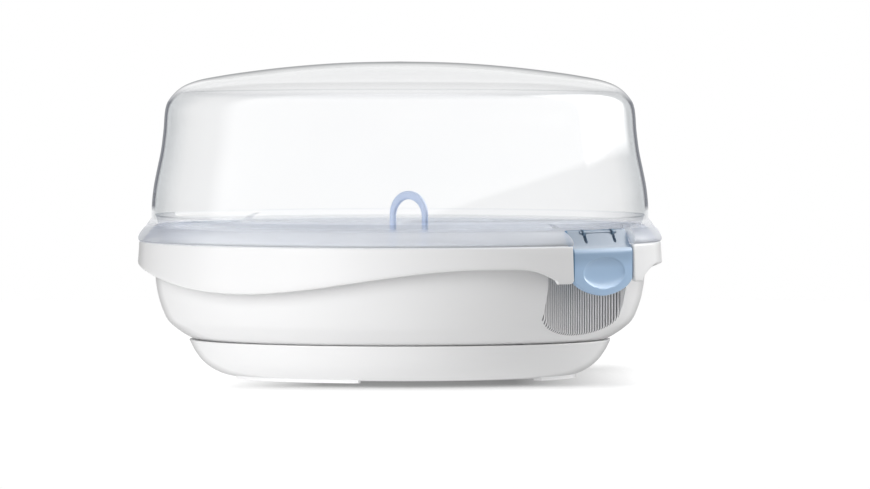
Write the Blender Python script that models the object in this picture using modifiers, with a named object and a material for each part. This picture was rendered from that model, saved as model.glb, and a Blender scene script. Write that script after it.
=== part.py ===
"""A microwave steam sterilizer: a white bowl on a foot dish, a bottle tray with a tall loop handle,
a clear domed lid, and two blue clips that hold the lid down.

Metres, +Z up. The origin is the centre of the ground under the foot. The clips are at +X and -X,
and the front is -Y. An outline is a list of (radius, height) points.
"""

import math

import bmesh
import bpy

# Clearances and helper lengths
SEAT_GAP = 0.0003
CLIP_SIDE_GAP = 0.0005
OVERRUN = 0.004
MERGE_DISTANCE = 0.00001
FULL_TURN = 2 * math.pi

# Collar and skirt of the base
COLLAR_RADIUS = 0.1381
COLLAR_DRAFT = 0.0006
COLLAR_TOP_RADIUS = COLLAR_RADIUS - COLLAR_DRAFT
COLLAR_TOP = 0.0715
RIM_THICKNESS = 0.0023
RIM_WIDTH = 0.0105
RIM_INNER_RADIUS = COLLAR_TOP_RADIUS - RIM_WIDTH
SKIRT_THICKNESS = 0.0022
SKIRT_EDGE_ROUND = 0.0008
SKIRT_FRONT_DROP = 0.0246
SKIRT_SIDE_DROP = 0.0115
SKIRT_CHEEK_DROP = 0.0195
SKIRT_LOW_EDGE = COLLAR_TOP - SKIRT_FRONT_DROP
SKIRT_HIGH_EDGE = COLLAR_TOP - SKIRT_SIDE_DROP
SKIRT_CHEEK_EDGE = COLLAR_TOP - SKIRT_CHEEK_DROP
SKIRT_RISE_ANGLE = math.radians(57)
SKIRT_CHEEK_ANGLE = math.radians(75.5)
SKIRT_CHEEK_RAMP = math.radians(11)
KEEPER_INSET = 0.0071
KEEPER_RADIUS = COLLAR_RADIUS - KEEPER_INSET

# Bowl
BOWL_WALL = 0.0022
SKIRT_SPACE = 0.0089
BOWL_RADIUS = COLLAR_RADIUS - SKIRT_SPACE
BOWL_FLOOR = 0.0200
BOWL_FLOOR_THICKNESS = 0.0034
BOWL_STEPS = 72
BOWL_RADIUS_SHARES = (0.997, 0.990, 0.977, 0.948, 0.9149, 0.868)
BOWL_HEIGHT_SHARES = (0.650, 0.518, 0.383, 0.206, 0.122, 0.041)

# Finger grips under the clips
GRIP_DEPTH = 0.0120
GRIP_DEPTH_RADIUS = BOWL_RADIUS - GRIP_DEPTH
GRIP_CURVE = 0.1425
GRIP_HALF_WIDTH = 0.0335
GRIP_DROP = 0.0095
GRIP_TOP = COLLAR_TOP - GRIP_DROP
GRIP_CEILING = 0.0025
GRIP_WALL = 0.0018
GRIP_CUT_SHARE = 0.36
GRIP_CUT_RADIUS = BOWL_RADIUS + SKIRT_SPACE * GRIP_CUT_SHARE
RIB_DEPTH = 0.0014
RIB_PITCH = 0.00195
RIB_GAP_SHARE = 0.48

# Foot dish
DISH_INSET = 0.0012
DISH_RADIUS = BOWL_RADIUS * BOWL_RADIUS_SHARES[-1] - DISH_INSET
DISH_GAP = 0.0005
DISH_LIP = BOWL_FLOOR - DISH_GAP
NECK_INSET = 0.0046
NECK_RADIUS = DISH_RADIUS - NECK_INSET
NECK_WALL = 0.0022
DISH_UNDERSIDE = 0.0008
DISH_WALL = 0.0022
DISH_STEPS = 60
DISH_RADIUS_SHARES = (0.976, 0.937, 0.883, 0.826, 0.756)
DISH_HEIGHT_SHARES = (0.703, 0.400, 0.177, 0.057, 0.0)
PAD_INSET = 0.0204
PAD_RADIUS = DISH_RADIUS - PAD_INSET
PAD_WIDTH = 0.0050
PAD_ANGLE = math.radians(54)
PAD_COUNT = 3
PAD_STEPS = 12

# Bottle tray
TRAY_OVERHANG = 0.0027
TRAY_RADIUS = NECK_RADIUS + TRAY_OVERHANG
TRAY_THICKNESS = 0.0020
TRAY_RIM_HEIGHT = 0.0047
TRAY_RIM_WIDTH = 0.0019
TRAY_STEPS = 60
TRAY_LIP_GAP = 0.0005
TRAY_LIP_DEPTH = 0.0022
TRAY_LIP_WIDTH = 0.0018
SEAT_RADIUS = 0.0345
SEAT_RIM = 0.0016
SEAT_HEIGHT = 0.0030
SEAT_MARGIN = 0.0085
SEAT_CIRCLE = TRAY_RADIUS - SEAT_RADIUS - SEAT_MARGIN
SEAT_COUNT = 4
SEAT_STEPS = 24
SLOT_LENGTH = 0.0260
SLOT_WIDTH = 0.0035
SLOT_PITCH = 0.0110
SLOTS_IN_SEAT = 3
EDGE_SLOT_LENGTH = 0.0200
EDGE_SLOT_INSET = 0.0240
EDGE_SLOT_CIRCLE = TRAY_RADIUS - EDGE_SLOT_INSET

# Loop handle on the tray
HANDLE_TOP = 0.0979
HANDLE_OFFSET = 0.0060
HANDLE_WIDTH = 0.0245
HANDLE_LEG = 0.0031
HANDLE_BRIDGE = 0.0044
HANDLE_THICKNESS = 0.0024
HANDLE_FLARE = 0.0045
HANDLE_FLARE_HEIGHT = 0.0200
HANDLE_ARC_STEPS = 14

# Lid
FLANGE_OVERHANG = 0.0005
FLANGE_RADIUS = COLLAR_TOP_RADIUS + FLANGE_OVERHANG
FLANGE_THICKNESS = 0.0018
FLANGE_NOSE = 0.0012
FLANGE_REACH = 0.0071
FLANGE_HEIGHT = 0.0120
LID_WALL = 0.0020
LID_WALL_BASE = COLLAR_TOP + FLANGE_HEIGHT
LID_WALL_RADIUS = FLANGE_RADIUS - FLANGE_REACH
DOME_HEIGHT = 0.0825
LID_TOP = LID_WALL_BASE + DOME_HEIGHT
LID_CROWN_RADIUS = 0.5920
LID_CROWN_SHARES = (0.0, 0.24, 0.45, 0.61, 0.723)
LID_RADIUS_SHARES = (0.822, 0.8785, 0.9152, 0.9404, 0.9526, 0.9626, 0.9786, 0.9916, 0.9992)
LID_HEIGHT_SHARES = (0.8752, 0.8364, 0.7855, 0.7212, 0.5491, 0.4279, 0.3055, 0.1976, 0.0824)
LID_STEPS = 60
TONGUE_GAP = 0.0006
TONGUE_THICKNESS = 0.0016
TONGUE_REACH = 0.0055
TONGUE_SHOULDER = 0.0020
NOTCH_DEPTH = 0.0028
NOTCH_RADIUS = LID_WALL_RADIUS - NOTCH_DEPTH
NOTCH_DROP = 0.0013
NOTCH_TOP = LID_WALL_BASE - NOTCH_DROP

# Clips and their hinges
CLIP_HALF_WIDTH = 0.0254
CLIP_THICKNESS = 0.0024
CLIP_INSET = 0.0021
CLIP_FACE = COLLAR_RADIUS - CLIP_INSET
CLIP_CURVE = 0.3000
CLIP_CURVE_CENTRE = CLIP_FACE - CLIP_CURVE
HINGE_STANDOFF = 0.0022
HINGE_RADIUS = NOTCH_RADIUS + HINGE_STANDOFF
HINGE_RISE = 0.0066
HINGE_HEIGHT = COLLAR_TOP + HINGE_RISE
HINGE_BAR = 0.0011
HINGE_STEPS = 12
CLIP_TOP_OFFSET = 0.0003
CLIP_TOP_FACE = HINGE_RADIUS + CLIP_TOP_OFFSET
CLIP_TOP_THICKNESS = 0.0011
CLIP_NECK_DEPTH = 0.0013
CLIP_TOP_RISE = 0.0016
CLIP_TOP = HINGE_HEIGHT + CLIP_TOP_RISE
CLIP_KNEE_DROP = 0.0018
CLIP_KNEE = COLLAR_TOP - CLIP_KNEE_DROP
CLIP_KNEE_ROUND = 0.0018
CLIP_DROP = 0.0262
CLIP_BOTTOM = COLLAR_TOP - CLIP_DROP
CLIP_ROUND_HEIGHT = 0.0095
CLIP_ROUND_POWER_SHARE = 1.75
CLIP_OUTLINE_STEPS = 20
CLIP_SWEEP_STEPS = 12
LUG_OFFSET = 0.0123
LUG_WIDTH = 0.0020
LUG_ROUND = 0.0020
LUG_SIDE_GAP = 0.0003
LUG_BORE_GAP = 0.0003
LUG_SLOT_LENGTH = 0.0070
HOOK_HALF_WIDTH = 0.0140
HOOK_THICKNESS = 0.0031
HOOK_PLAY = 0.0005
HOOK_OVERLAP = 0.0011
THUMB_HALF_WIDTH = 0.0176
THUMB_HALF_HEIGHT = 0.0081
THUMB_RISE = 0.0120
THUMB_HEIGHT = CLIP_BOTTOM + THUMB_RISE
THUMB_DEPTH = 0.0010
THUMB_STEPS = 24
THUMB_CUTTER_HALF_DEPTH = 0.0012


def clear_scene():
    """Empties the scene that Blender starts with."""
    for item in list(bpy.data.objects):
        bpy.data.objects.remove(item, do_unlink=True)


def new_collection(name):
    """A new collection in the scene."""
    collection = bpy.data.collections.new(name)
    bpy.context.scene.collection.children.link(collection)
    return collection


def put(name, mesh, collection):
    """A new object that holds this mesh."""
    item = bpy.data.objects.new(name, mesh)
    collection.objects.link(item)
    return item


def put_bmesh(name, bm, collection):
    """A new object from a bmesh, with its faces turned outward."""
    bm.normal_update()
    bmesh.ops.recalc_face_normals(bm, faces=bm.faces)
    mesh = bpy.data.meshes.new(name)
    bm.to_mesh(mesh)
    bm.free()
    return put(name, mesh, collection)


def hide(item):
    """Marks an object as a cutter or a guide."""
    item.hide_render = True
    item.display_type = "WIRE"
    return item


def bake(item):
    """Swaps an object's mesh for the one that its modifiers make."""
    bpy.context.view_layer.update()
    graph = bpy.context.evaluated_depsgraph_get()
    mesh = bpy.data.meshes.new_from_object(item.evaluated_get(graph))
    item.modifiers.clear()
    item.data = mesh
    return item


def weld(item):
    """Joins points that a cut left on top of each other, and drops faces with no area."""
    bm = bmesh.new()
    bm.from_mesh(item.data)
    bmesh.ops.remove_doubles(bm, verts=bm.verts, dist=MERGE_DISTANCE)
    bmesh.ops.dissolve_degenerate(bm, dist=MERGE_DISTANCE, edges=bm.edges)
    bmesh.ops.triangulate(bm, faces=bm.faces)
    bm.to_mesh(item.data)
    bm.free()
    return item


def turned(name, outline, steps, closed, collection):
    """A turned body from an outline that runs down its outer side, with a Screw modifier."""
    mesh = bpy.data.meshes.new(name)
    edges = [(i, i + 1) for i in range(len(outline) - 1)]
    if closed:
        edges.append((len(outline) - 1, 0))
    mesh.from_pydata([(radius, 0.0, height) for radius, height in outline], edges, [])
    item = put(name, mesh, collection)
    screw = item.modifiers.new("turn", "SCREW")
    screw.angle = FULL_TURN
    screw.steps = steps
    screw.render_steps = steps
    screw.use_merge_vertices = True
    screw.merge_threshold = MERGE_DISTANCE
    bake(item)
    bm = bmesh.new()
    bm.from_mesh(item.data)
    bmesh.ops.recalc_face_normals(bm, faces=bm.faces)
    bm.to_mesh(item.data)
    bm.free()
    return item


def prism(name, outline, low, high, collection):
    """A flat outline of (x, y) points as a filled 2D curve, extruded from low to high."""
    curve = bpy.data.curves.new(name, "CURVE")
    curve.dimensions = "2D"
    curve.fill_mode = "BOTH"
    curve.extrude = (high - low) / 2
    spline = curve.splines.new("POLY")
    spline.points.add(len(outline) - 1)
    for point, (x, y) in zip(spline.points, outline):
        point.co = (x, y, 0.0, 1.0)
    spline.use_cyclic_u = True
    guide = put(name + "_curve", curve, collection)
    bpy.context.view_layer.update()
    graph = bpy.context.evaluated_depsgraph_get()
    mesh = bpy.data.meshes.new_from_object(guide.evaluated_get(graph))
    bpy.data.objects.remove(guide)
    bm = bmesh.new()
    bm.from_mesh(mesh)
    bmesh.ops.remove_doubles(bm, verts=bm.verts, dist=MERGE_DISTANCE)
    bmesh.ops.translate(bm, verts=bm.verts, vec=(0.0, 0.0, (low + high) / 2))
    return put_bmesh(name, bm, collection)


def box(name, low, high, collection):
    """A box between two corners."""
    bm = bmesh.new()
    bmesh.ops.create_cube(bm, size=1)
    for vert in bm.verts:
        vert.co = [a + (b - a) * (c + 0.5) for a, b, c in zip(low, high, vert.co)]
    return put_bmesh(name, bm, collection)


def rod(name, radius, half_length, centre, steps, collection):
    """A round rod along Y."""
    bm = bmesh.new()
    bmesh.ops.create_cone(
        bm, cap_ends=True, segments=steps, radius1=radius, radius2=radius, depth=2 * half_length
    )
    for vert in bm.verts:
        x, y, z = vert.co
        vert.co = (centre[0] + x, centre[1] + z, centre[2] - y)
    return put_bmesh(name, bm, collection)


def boolean(item, tool, operation, solver="EXACT"):
    """A Boolean modifier on item with tool, which stays hidden."""
    hide(tool)
    modifier = item.modifiers.new(tool.name, "BOOLEAN")
    modifier.operation = operation
    modifier.object = tool
    modifier.solver = solver


def moved_aside(points, distance):
    """A line of points moved by a distance to the right of the way it runs."""
    moved = []
    for i, (x, y) in enumerate(points):
        before = points[max(i - 1, 0)]
        after = points[min(i + 1, len(points) - 1)]
        run = (after[0] - before[0], after[1] - before[1])
        length = math.hypot(*run)
        moved.append((x + distance * run[1] / length, y - distance * run[0] / length))
    return moved


def arc(radius, start, end, steps):
    """Points on a circle round the Z axis, with angles from +X."""
    angles = [start + (end - start) * i / steps for i in range(steps + 1)]
    return [(radius * math.cos(a), radius * math.sin(a)) for a in angles]


def material(name, colour, roughness, alpha=1.0, transmission=0.0):
    """A Principled material."""
    made = bpy.data.materials.new(name)
    made.use_nodes = True
    shader = made.node_tree.nodes["Principled BSDF"]
    shader.inputs["Base Color"].default_value = (*colour, 1.0)
    shader.inputs["Roughness"].default_value = roughness
    shader.inputs["Metallic"].default_value = 0.0
    shader.inputs["Alpha"].default_value = alpha
    shader.inputs["Transmission Weight"].default_value = transmission
    return made


def finish(item, made):
    """Gives a part its material and smooth round faces."""
    item.data.materials.clear()
    item.data.materials.append(made)
    item.data.shade_smooth()
    item.data.set_sharp_from_angle(angle=math.radians(35))
    return item


def side_copy(item, name, side, collection):
    """A copy of a cutter made for the +X side, turned to the side asked for."""
    bm = bmesh.new()
    bm.from_mesh(item.data)
    if side < 0:
        turn = ((-1, 0, 0), (0, -1, 0), (0, 0, 1))
        for vert in bm.verts:
            vert.co = [sum(a * b for a, b in zip(row, vert.co)) for row in turn]
    return put_bmesh(name, bm, collection)


def skirt_edge(angle):
    """Height of the skirt's lower edge, from the angle off the front."""
    away = abs(math.remainder(angle, math.pi))
    share = min(away / SKIRT_RISE_ANGLE, 1.0)
    height = SKIRT_LOW_EDGE + (SKIRT_HIGH_EDGE - SKIRT_LOW_EDGE) * (1 - math.cos(math.pi * share)) / 2
    ramp_start = SKIRT_CHEEK_ANGLE - SKIRT_CHEEK_RAMP
    drop = min(max((away - ramp_start) / SKIRT_CHEEK_RAMP, 0.0), 1.0)
    eased = drop * drop
    return height + (SKIRT_CHEEK_EDGE - SKIRT_HIGH_EDGE) * eased


def bowl_outside():
    """Outer line of the bowl under the collar, from the rim down to the floor."""
    rim_under = COLLAR_TOP - RIM_THICKNESS
    height = rim_under - BOWL_FLOOR
    points = [(BOWL_RADIUS, rim_under)]
    for radius_share, height_share in zip(BOWL_RADIUS_SHARES, BOWL_HEIGHT_SHARES):
        points.append((BOWL_RADIUS * radius_share, BOWL_FLOOR + height * height_share))
    return points


def bowl_body(collection):
    """The turned bowl with its collar and skirt, before the grips are cut."""
    rim_under = COLLAR_TOP - RIM_THICKNESS
    skirt_inside = COLLAR_RADIUS - SKIRT_THICKNESS
    outside = bowl_outside()
    inside = moved_aside(outside, BOWL_WALL)[1:]
    floor_top = BOWL_FLOOR + BOWL_FLOOR_THICKNESS
    hole = NECK_RADIUS + SEAT_GAP
    knuckle = BOWL_WALL / 2
    outline = [
        (RIM_INNER_RADIUS, COLLAR_TOP),
        (COLLAR_TOP_RADIUS - SKIRT_EDGE_ROUND, COLLAR_TOP),
        (COLLAR_TOP_RADIUS, COLLAR_TOP - SKIRT_EDGE_ROUND),
        (COLLAR_RADIUS, SKIRT_HIGH_EDGE),
        (COLLAR_RADIUS, SKIRT_LOW_EDGE + SKIRT_EDGE_ROUND),
        (COLLAR_RADIUS - SKIRT_EDGE_ROUND, SKIRT_LOW_EDGE),
        (skirt_inside, SKIRT_LOW_EDGE),
        (skirt_inside, rim_under - knuckle),
        (skirt_inside - knuckle, rim_under),
        *outside,
        (hole, BOWL_FLOOR),
        (hole, floor_top),
        (inside[-1][0] - knuckle, floor_top),
        *reversed(inside),
    ]
    bowl = turned("base_bowl", outline, BOWL_STEPS, True, collection)
    reach = rim_under - knuckle - SKIRT_LOW_EDGE
    for vert in bowl.data.vertices:
        x, y, z = vert.co
        radius = math.hypot(x, y)
        on_skirt = radius > skirt_inside - MERGE_DISTANCE
        share = (rim_under - knuckle - z) / reach
        if on_skirt and share > 0:
            rise = skirt_edge(math.atan2(x, -y)) - SKIRT_LOW_EDGE
            vert.co.z = z + share * rise
    return bowl


def grip_line(y):
    """How far out the rib tips of a grip lie, at this distance from its middle."""
    return GRIP_DEPTH_RADIUS + GRIP_CURVE - math.sqrt(GRIP_CURVE**2 - y**2)


def grip_cutter(collection):
    """Cutter for the grip at +X: a concave face with upright ribs, open to the outside and below."""
    count = round(2 * GRIP_HALF_WIDTH / RIB_PITCH)
    line = [(grip_line(GRIP_HALF_WIDTH), -GRIP_HALF_WIDTH)]
    for i in range(count):
        start = -GRIP_HALF_WIDTH + 2 * GRIP_HALF_WIDTH * (i + (1 - RIB_GAP_SHARE) / 2) / count
        end = start + 2 * GRIP_HALF_WIDTH * RIB_GAP_SHARE / count
        line.append((grip_line(start), start))
        line.append((grip_line(start) - RIB_DEPTH, start))
        line.append((grip_line(end) - RIB_DEPTH, end))
        line.append((grip_line(end), end))
    line.append((grip_line(GRIP_HALF_WIDTH), GRIP_HALF_WIDTH))
    half_angle = math.asin(GRIP_HALF_WIDTH / GRIP_CUT_RADIUS)
    outer = arc(GRIP_CUT_RADIUS, half_angle, -half_angle, HINGE_STEPS)
    return prism("grip_cutter", line + outer, BOWL_FLOOR - OVERRUN, GRIP_TOP, collection)


def grip_backing(collection):
    """The wall behind the grip at +X, which fills the bowl from the wall to the ribs."""
    reach = GRIP_HALF_WIDTH + OVERRUN
    depth = RIB_DEPTH + GRIP_WALL
    steps = HINGE_STEPS
    ys = [-reach + 2 * reach * i / steps for i in range(steps + 1)]
    line = [(grip_line(y) - depth, y) for y in ys]
    outer = [(BOWL_RADIUS + OVERRUN, reach), (BOWL_RADIUS + OVERRUN, -reach)]
    low = BOWL_FLOOR - OVERRUN
    return prism("grip_backing", line + outer, low, GRIP_TOP + GRIP_CEILING, collection)


def bowl_core(collection):
    """The space inside the middle of the bowl's wall, which trims the backing of the grips."""
    middle = moved_aside(bowl_outside(), BOWL_WALL / 2)
    outline = [(0.0, COLLAR_TOP), (middle[0][0], COLLAR_TOP), *middle, (0.0, middle[-1][1])]
    return turned("bowl_core", outline, BOWL_STEPS, False, collection)


def clip_gap_cutter(name, inner_radius, half_width, low, high, collection):
    """Cutter for the gap at +X that a clip lies in, outside a given radius."""
    half_angle = math.asin(half_width / inner_radius)
    inner = arc(inner_radius, -half_angle, half_angle, CLIP_SWEEP_STEPS)
    far = COLLAR_RADIUS + OVERRUN
    return prism(name, inner + [(far, half_width), (far, -half_width)], low, high, collection)


def make_base_bowl(parts, cutters, made):
    """The bowl with its collar, wavy skirt and ribbed finger grips, in one moulding.

    The exact solver loses the bowl when the many ribs cut it, so these cuts use the manifold one.
    """
    bowl = bowl_body(parts)
    core = bowl_core(cutters)
    backing = grip_backing(cutters)
    ribs = grip_cutter(cutters)
    gap_width = CLIP_HALF_WIDTH + CLIP_SIDE_GAP
    gap_low = CLIP_BOTTOM - OVERRUN
    gap_high = COLLAR_TOP + OVERRUN
    gap = clip_gap_cutter("clip_gap", KEEPER_RADIUS, gap_width, gap_low, gap_high, cutters)
    for side, word in ((1, "right"), (-1, "left")):
        wall = side_copy(backing, "grip_wall_" + word, side, cutters)
        boolean(wall, core, "INTERSECT")
        boolean(bowl, bake(wall), "UNION", "MANIFOLD")
        cuts = side_copy(ribs, "grip_ribs_" + word, side, cutters)
        boolean(bowl, cuts, "DIFFERENCE", "MANIFOLD")
        opening = side_copy(gap, "clip_gap_" + word, side, cutters)
        boolean(bowl, opening, "DIFFERENCE", "MANIFOLD")
    weld(bake(bowl))
    for tool in (core, backing, ribs, gap):
        bpy.data.objects.remove(tool)
    return finish(bowl, made)


def make_foot_dish(parts, cutters, made):
    """The dish under the bowl that holds the water, with its neck and three foot pads."""
    floor_top = BOWL_FLOOR + BOWL_FLOOR_THICKNESS
    height = DISH_LIP - DISH_UNDERSIDE
    outside = [(DISH_RADIUS, DISH_LIP)]
    for radius_share, height_share in zip(DISH_RADIUS_SHARES, DISH_HEIGHT_SHARES):
        outside.append((DISH_RADIUS * radius_share, DISH_UNDERSIDE + height * height_share))
    inside = moved_aside(outside, DISH_WALL)[1:]
    neck_inside = NECK_RADIUS - NECK_WALL
    outline = [
        (0.0, inside[-1][1]),
        *reversed(inside),
        (neck_inside, DISH_LIP - DISH_WALL),
        (neck_inside, floor_top),
        (NECK_RADIUS, floor_top),
        (NECK_RADIUS, BOWL_FLOOR - SEAT_GAP),
        *outside,
        (0.0, DISH_UNDERSIDE),
    ]
    dish = turned("foot_dish", outline, DISH_STEPS, False, parts)
    pad_top = DISH_UNDERSIDE + DISH_WALL / 2
    for i in range(PAD_COUNT):
        middle = -math.pi / 2 + FULL_TURN * i / PAD_COUNT
        start = middle - PAD_ANGLE / 2
        end = middle + PAD_ANGLE / 2
        ring = arc(PAD_RADIUS - PAD_WIDTH / 2, start, end, PAD_STEPS)
        ring += arc(PAD_RADIUS + PAD_WIDTH / 2, end, start, PAD_STEPS)
        boolean(dish, prism(f"foot_pad_{i}", ring, 0.0, pad_top, cutters), "UNION")
    return finish(bake(dish), made)


def tray_plate(collection):
    """The turned plate of the tray, with its raised rim and the lip that centres it in the neck."""
    under = BOWL_FLOOR + BOWL_FLOOR_THICKNESS + SEAT_GAP
    top = under + TRAY_THICKNESS
    rim_top = top + TRAY_RIM_HEIGHT
    lip_outside = NECK_RADIUS - NECK_WALL - TRAY_LIP_GAP
    lip_inside = lip_outside - TRAY_LIP_WIDTH
    outline = [
        (0.0, top),
        (TRAY_RADIUS - 2 * TRAY_RIM_WIDTH, top),
        (TRAY_RADIUS - TRAY_RIM_WIDTH, rim_top),
        (TRAY_RADIUS, rim_top),
        (TRAY_RADIUS, top),
        (TRAY_RADIUS - TRAY_THICKNESS / 2, under),
        (lip_outside, under),
        (lip_outside, under - TRAY_LIP_DEPTH),
        (lip_inside, under - TRAY_LIP_DEPTH),
        (lip_inside, under),
        (0.0, under),
    ]
    return turned("bottle_tray", outline, TRAY_STEPS, False, collection)


def handle_outline():
    """The loop handle as seen from the front: outer line, then inner line back."""
    foot = BOWL_FLOOR + BOWL_FLOOR_THICKNESS + SEAT_GAP + TRAY_THICKNESS / 2
    flare_top = foot + HANDLE_FLARE_HEIGHT
    outer_radius = HANDLE_WIDTH / 2
    inner_radius = outer_radius - HANDLE_LEG
    outer_centre = HANDLE_TOP - outer_radius
    inner_centre = HANDLE_TOP - HANDLE_BRIDGE - inner_radius
    outer = [(-outer_radius - HANDLE_FLARE, foot), (-outer_radius, flare_top)]
    inner = [(inner_radius + HANDLE_FLARE, foot), (inner_radius, flare_top)]
    for i in range(HANDLE_ARC_STEPS + 1):
        angle = math.pi * (1 - i / HANDLE_ARC_STEPS)
        outer.append((outer_radius * math.cos(angle), outer_centre + outer_radius * math.sin(angle)))
        inner.append((-inner_radius * math.cos(angle), inner_centre + inner_radius * math.sin(angle)))
    outer += [(outer_radius, flare_top), (outer_radius + HANDLE_FLARE, foot)]
    inner += [(-inner_radius, flare_top), (-inner_radius - HANDLE_FLARE, foot)]
    return outer + inner


def make_handle(collection):
    """The loop handle, standing on the tray across the width of the part."""
    flat = prism("loop_handle", handle_outline(), -HANDLE_THICKNESS / 2, HANDLE_THICKNESS / 2, collection)
    for vert in flat.data.vertices:
        x, y, z = vert.co
        vert.co = (x + HANDLE_OFFSET, -z, y)
    return flat


def slot_cutter(name, centre, angle, length, collection):
    """A steam slot through the tray's plate, along the direction of the angle."""
    under = BOWL_FLOOR + BOWL_FLOOR_THICKNESS
    half_length = length / 2
    half_width = SLOT_WIDTH / 2
    corners = ((-half_length, -half_width), (half_length, -half_width))
    corners += ((half_length, half_width), (-half_length, half_width))
    along = (math.cos(angle), math.sin(angle))
    outline = []
    for a, b in corners:
        outline.append((centre[0] + a * along[0] - b * along[1], centre[1] + a * along[1] + b * along[0]))
    return prism(name, outline, under - OVERRUN, under + OVERRUN, collection)


def make_bottle_tray(parts, cutters, made):
    """The tray that bottles stand on, with four ring seats, steam slots and a loop handle."""
    tray = tray_plate(parts)
    plate_top = BOWL_FLOOR + BOWL_FLOOR_THICKNESS + SEAT_GAP + TRAY_THICKNESS
    boolean(tray, make_handle(cutters), "UNION")
    for i in range(SEAT_COUNT):
        angle = FULL_TURN * (i + 0.5) / SEAT_COUNT
        along = (math.cos(angle), math.sin(angle))
        centre = (SEAT_CIRCLE * along[0], SEAT_CIRCLE * along[1])
        ring = [
            (SEAT_RADIUS, plate_top + SEAT_HEIGHT),
            (SEAT_RADIUS + SEAT_RIM, plate_top + SEAT_HEIGHT),
            (SEAT_RADIUS + SEAT_RIM, plate_top - TRAY_THICKNESS / 2),
            (SEAT_RADIUS, plate_top - TRAY_THICKNESS / 2),
        ]
        seat = turned(f"bottle_seat_{i}", ring, SEAT_STEPS, True, cutters)
        for vert in seat.data.vertices:
            vert.co.x += centre[0]
            vert.co.y += centre[1]
        boolean(tray, seat, "UNION")
        for j in range(SLOTS_IN_SEAT):
            shift = (j - (SLOTS_IN_SEAT - 1) / 2) * SLOT_PITCH
            place = (centre[0] - shift * along[1], centre[1] + shift * along[0])
            slot = slot_cutter(f"seat_slot_{i}_{j}", place, angle, SLOT_LENGTH, cutters)
            boolean(tray, slot, "DIFFERENCE")
        angle = FULL_TURN * i / SEAT_COUNT
        place = (EDGE_SLOT_CIRCLE * math.cos(angle), EDGE_SLOT_CIRCLE * math.sin(angle))
        slot = slot_cutter(f"edge_slot_{i}", place, angle, EDGE_SLOT_LENGTH, cutters)
        boolean(tray, slot, "DIFFERENCE")
    return finish(bake(tray), made)


def lid_outside():
    """Outer line of the lid from the middle of its crown down to the foot of its wall."""
    points = []
    for share in LID_CROWN_SHARES:
        radius = LID_WALL_RADIUS * share
        drop = LID_CROWN_RADIUS - math.sqrt(LID_CROWN_RADIUS**2 - radius**2)
        points.append((radius, LID_TOP - drop))
    height = LID_TOP - LID_WALL_BASE
    for radius_share, height_share in zip(LID_RADIUS_SHARES, LID_HEIGHT_SHARES):
        points.append((LID_WALL_RADIUS * radius_share, LID_WALL_BASE + height * height_share))
    points.append((LID_WALL_RADIUS, LID_WALL_BASE))
    return points


def lid_body(collection):
    """The turned lid: dome, sloping flange, and the tongue that centres it inside the rim."""
    outside = lid_outside()
    inside = moved_aside(outside, LID_WALL)[1:-1]
    seat = COLLAR_TOP + SEAT_GAP
    nose_top = seat + FLANGE_NOSE
    nose_inside = FLANGE_RADIUS - 2 * FLANGE_NOSE
    tongue_outside = RIM_INNER_RADIUS - TONGUE_GAP
    tongue_inside = tongue_outside - TONGUE_THICKNESS
    tongue_low = COLLAR_TOP - TONGUE_REACH
    crotch_radius = LID_WALL_RADIUS - FLANGE_THICKNESS
    crotch_height = LID_WALL_BASE - 2 * FLANGE_THICKNESS
    shoulder = COLLAR_TOP + TONGUE_SHOULDER
    outline = [
        *outside,
        (FLANGE_RADIUS, nose_top),
        (FLANGE_RADIUS - FLANGE_NOSE / 2, seat),
        (nose_inside, seat),
        (crotch_radius, crotch_height),
        (NOTCH_RADIUS - SEAT_GAP, crotch_height - FLANGE_NOSE),
        (tongue_outside, shoulder),
        (tongue_outside, tongue_low),
        (tongue_inside, tongue_low),
        (tongue_inside, shoulder),
        (LID_WALL_RADIUS - LID_WALL - FLANGE_THICKNESS, crotch_height),
        (LID_WALL_RADIUS - LID_WALL, LID_WALL_BASE + LID_WALL),
        *reversed(inside),
        (0.0, LID_TOP - LID_WALL),
    ]
    return turned("lid", outline, LID_STEPS, False, collection)


def lug_cutters(collection, side, y):
    """One hinge lug at +X or -X: its web and round end, and the hole that it turns on."""
    low_y = y - LUG_WIDTH / 2
    high_y = y + LUG_WIDTH / 2
    root = math.sqrt(NOTCH_RADIUS**2 - y**2) - LID_WALL / 2
    corners = sorted((side * root, side * HINGE_RADIUS))
    word = f"{'right' if side > 0 else 'left'}_{'back' if y > 0 else 'front'}"
    low = (corners[0], low_y, HINGE_HEIGHT - LUG_ROUND / 2)
    high = (corners[1], high_y, HINGE_HEIGHT + LUG_ROUND / 2)
    web = box("lug_web_" + word, low, high, collection)
    centre = (side * HINGE_RADIUS, y, HINGE_HEIGHT)
    half = LUG_WIDTH / 2
    end = rod("lug_end_" + word, LUG_ROUND, half, centre, HINGE_STEPS, collection)
    bore = rod("lug_bore_" + word, HINGE_BAR + LUG_BORE_GAP, LUG_WIDTH, centre, HINGE_STEPS, collection)
    return web, end, bore


def make_lid(parts, cutters, made):
    """The clear lid, notched for the clips, with two hinge lugs in each notch."""
    lid = lid_body(parts)
    width = CLIP_HALF_WIDTH + CLIP_SIDE_GAP
    low = COLLAR_TOP - OVERRUN / 2
    notch = clip_gap_cutter("notch", NOTCH_RADIUS, width, low, NOTCH_TOP, cutters)
    for side, word in ((1, "right"), (-1, "left")):
        boolean(lid, side_copy(notch, "notch_" + word, side, cutters), "DIFFERENCE")
        for y in (-LUG_OFFSET, LUG_OFFSET):
            web, end, bore = lug_cutters(cutters, side, y)
            boolean(lid, web, "UNION")
            boolean(lid, end, "UNION")
            boolean(lid, bore, "DIFFERENCE")
    bake(lid)
    bpy.data.objects.remove(notch)
    return finish(lid, made)


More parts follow.
